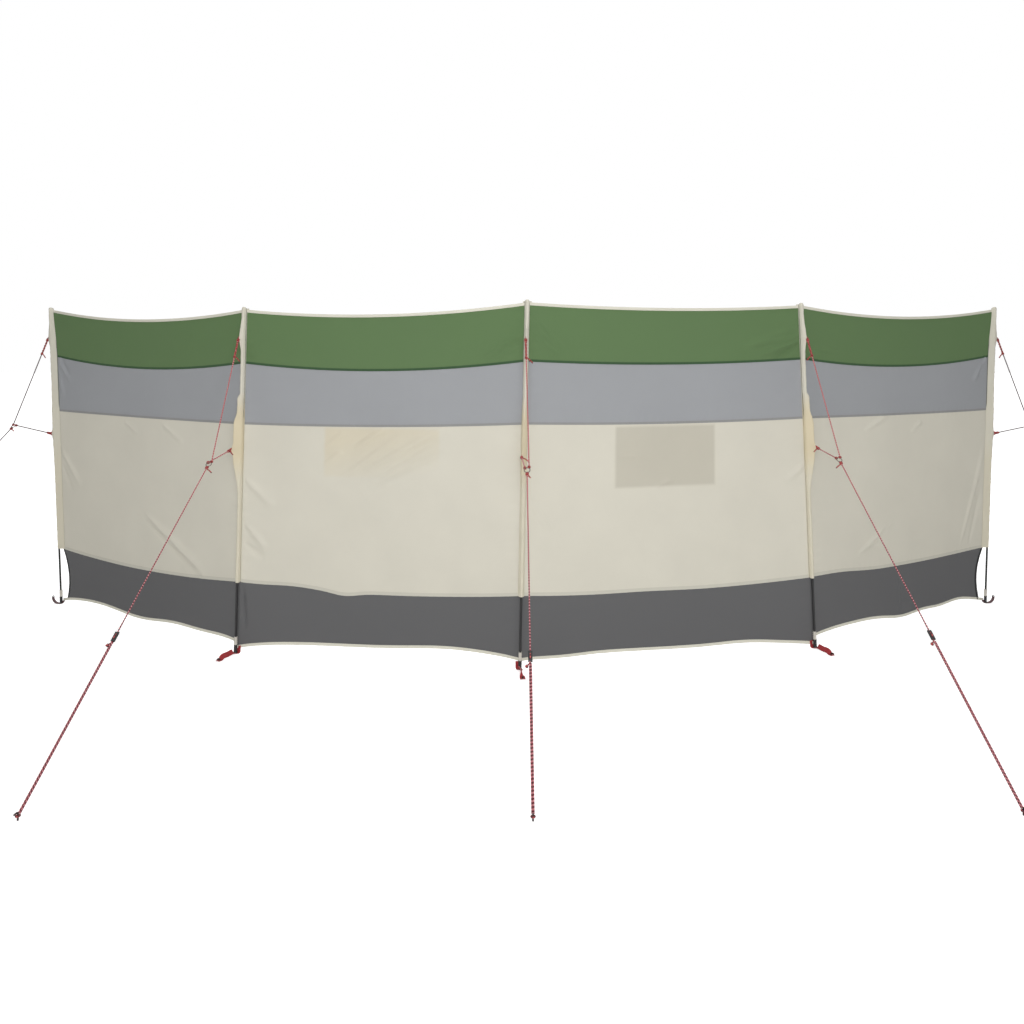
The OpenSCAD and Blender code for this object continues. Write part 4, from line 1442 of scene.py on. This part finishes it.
for (word, b), (made, _, _) in sheets.items():
    high_edge = ("green", "grey", "cream", "skirt").index(word)
    ends = [0.045 if word == "skirt" and is_end(i) else 0.013 for i in (b, b + 1)]
    area, wide, tall = grid_area(b, high_edge, high_edge + 1, *ends)
for b, pocket in pockets.items():
    left, right, low, high = pocket_box(b)

# Stage -----------------------------------------------------------------------------------
# A pale floor that fades into a white background, with soft light from in front.


def floor_finish():
    """Pale and matt; seen straight on it also glows, more with distance, into the white."""
    made, shader = material_of("floor_pale", 0.9)
    tree = made.node_tree
    place = add_node(tree, "ShaderNodeTexCoord").outputs["Object"]
    tint = ramp(tree, noise(tree, place, 0.8, 2.0), (0.3, (0.88, 0.88, 0.88)),
                (0.7, (0.90, 0.90, 0.90)))
    tree.links.new(tint, shader.inputs["Base Color"])
    far = add_node(tree, "ShaderNodeVectorMath", operation="LENGTH")
    tree.links.new(place, far.inputs[0])
    glow = add_node(tree, "ShaderNodeMapRange")
    tree.links.new(far.outputs["Value"], glow.inputs["Value"])
    for word, value in (("From Min", 2.0), ("From Max", 5.0), ("To Min", 0.58), ("To Max", 1.0)):
        glow.inputs[word].default_value = value
    seen = add_node(tree, "ShaderNodeMath", operation="MULTIPLY")
    tree.links.new(glow.outputs[0], seen.inputs[0])
    tree.links.new(add_node(tree, "ShaderNodeLightPath").outputs["Is Camera Ray"], seen.inputs[1])
    shader.inputs["Emission Color"].default_value = (1, 1, 1, 1)
    tree.links.new(seen.outputs[0], shader.inputs["Emission Strength"])
    return made


bpy.ops.mesh.primitive_plane_add(size=60, location=(0, 0, 0))
floor = bpy.context.object
floor.name = "floor"
floor.data.materials.append(floor_finish())

world = bpy.data.worlds.new("studio")
bpy.context.scene.world = world
world.use_nodes = True
tree = world.node_tree
path = tree.nodes.new("ShaderNodeLightPath")
seen = add_node(tree, "ShaderNodeMath", operation="MAXIMUM")
tree.links.new(path.outputs["Is Camera Ray"], seen.inputs[0])
seen_more = add_node(tree, "ShaderNodeMath", operation="MAXIMUM")
tree.links.new(path.outputs["Is Glossy Ray"], seen_more.inputs[0])
tree.links.new(path.outputs["Is Transmission Ray"], seen_more.inputs[1])
tree.links.new(seen_more.outputs[0], seen.inputs[1])
AMBIENT = 0.22
strength = add_node(tree, "ShaderNodeMapRange")
tree.links.new(seen.outputs[0], strength.inputs["Value"])
strength.inputs["To Min"].default_value = AMBIENT
strength.inputs["To Max"].default_value = 1.0
background = tree.nodes["Background"]
background.inputs["Color"].default_value = (1, 1, 1, 1)
tree.links.new(strength.outputs[0], background.inputs["Strength"])


def lamp(name, place, target, size, power):
    data = bpy.data.lights.new(name, "AREA")
    data.shape = "SQUARE"
    data.size = size
    data.energy = power
    made = bpy.data.objects.new(name, data)
    made.location = place
    made.rotation_euler = (Vector(target) - Vector(place)).to_track_quat("-Z", "Y").to_euler()
    bpy.context.scene.collection.objects.link(made)


lamp("front_light", (0.2, -3.4, 2.0), (0, 0.2, 0.6), 2.0, 60)
lamp("left_fill", (-3.4, -2.6, 0.5), (-1.9, 0.0, 0.35), 1.6, 25)
lamp("right_fill", (3.4, -2.6, 0.5), (1.9, 0.0, 0.35), 1.6, 24)
lamp("top_light", (0.0, 0.2, 4.6), (0, 0.3, 0.0), 4.0, 90)
lamp("back_light", (-0.4, 4.4, 2.6), (0, 0.3, 0.7), 2.6, 120)

camera_data = bpy.data.cameras.new("camera")
camera_data.sensor_width = 36.0
camera_data.lens = 29.88
camera_data.shift_y = -0.169
camera = bpy.data.objects.new("camera", camera_data)
camera.location = (-0.032, -3.454, 1.343)
camera.rotation_euler = (math.radians(90), 0, 0)
bpy.context.scene.collection.objects.link(camera)
bpy.context.scene.camera = camera
bpy.context.scene.view_settings.view_transform = "Standard"
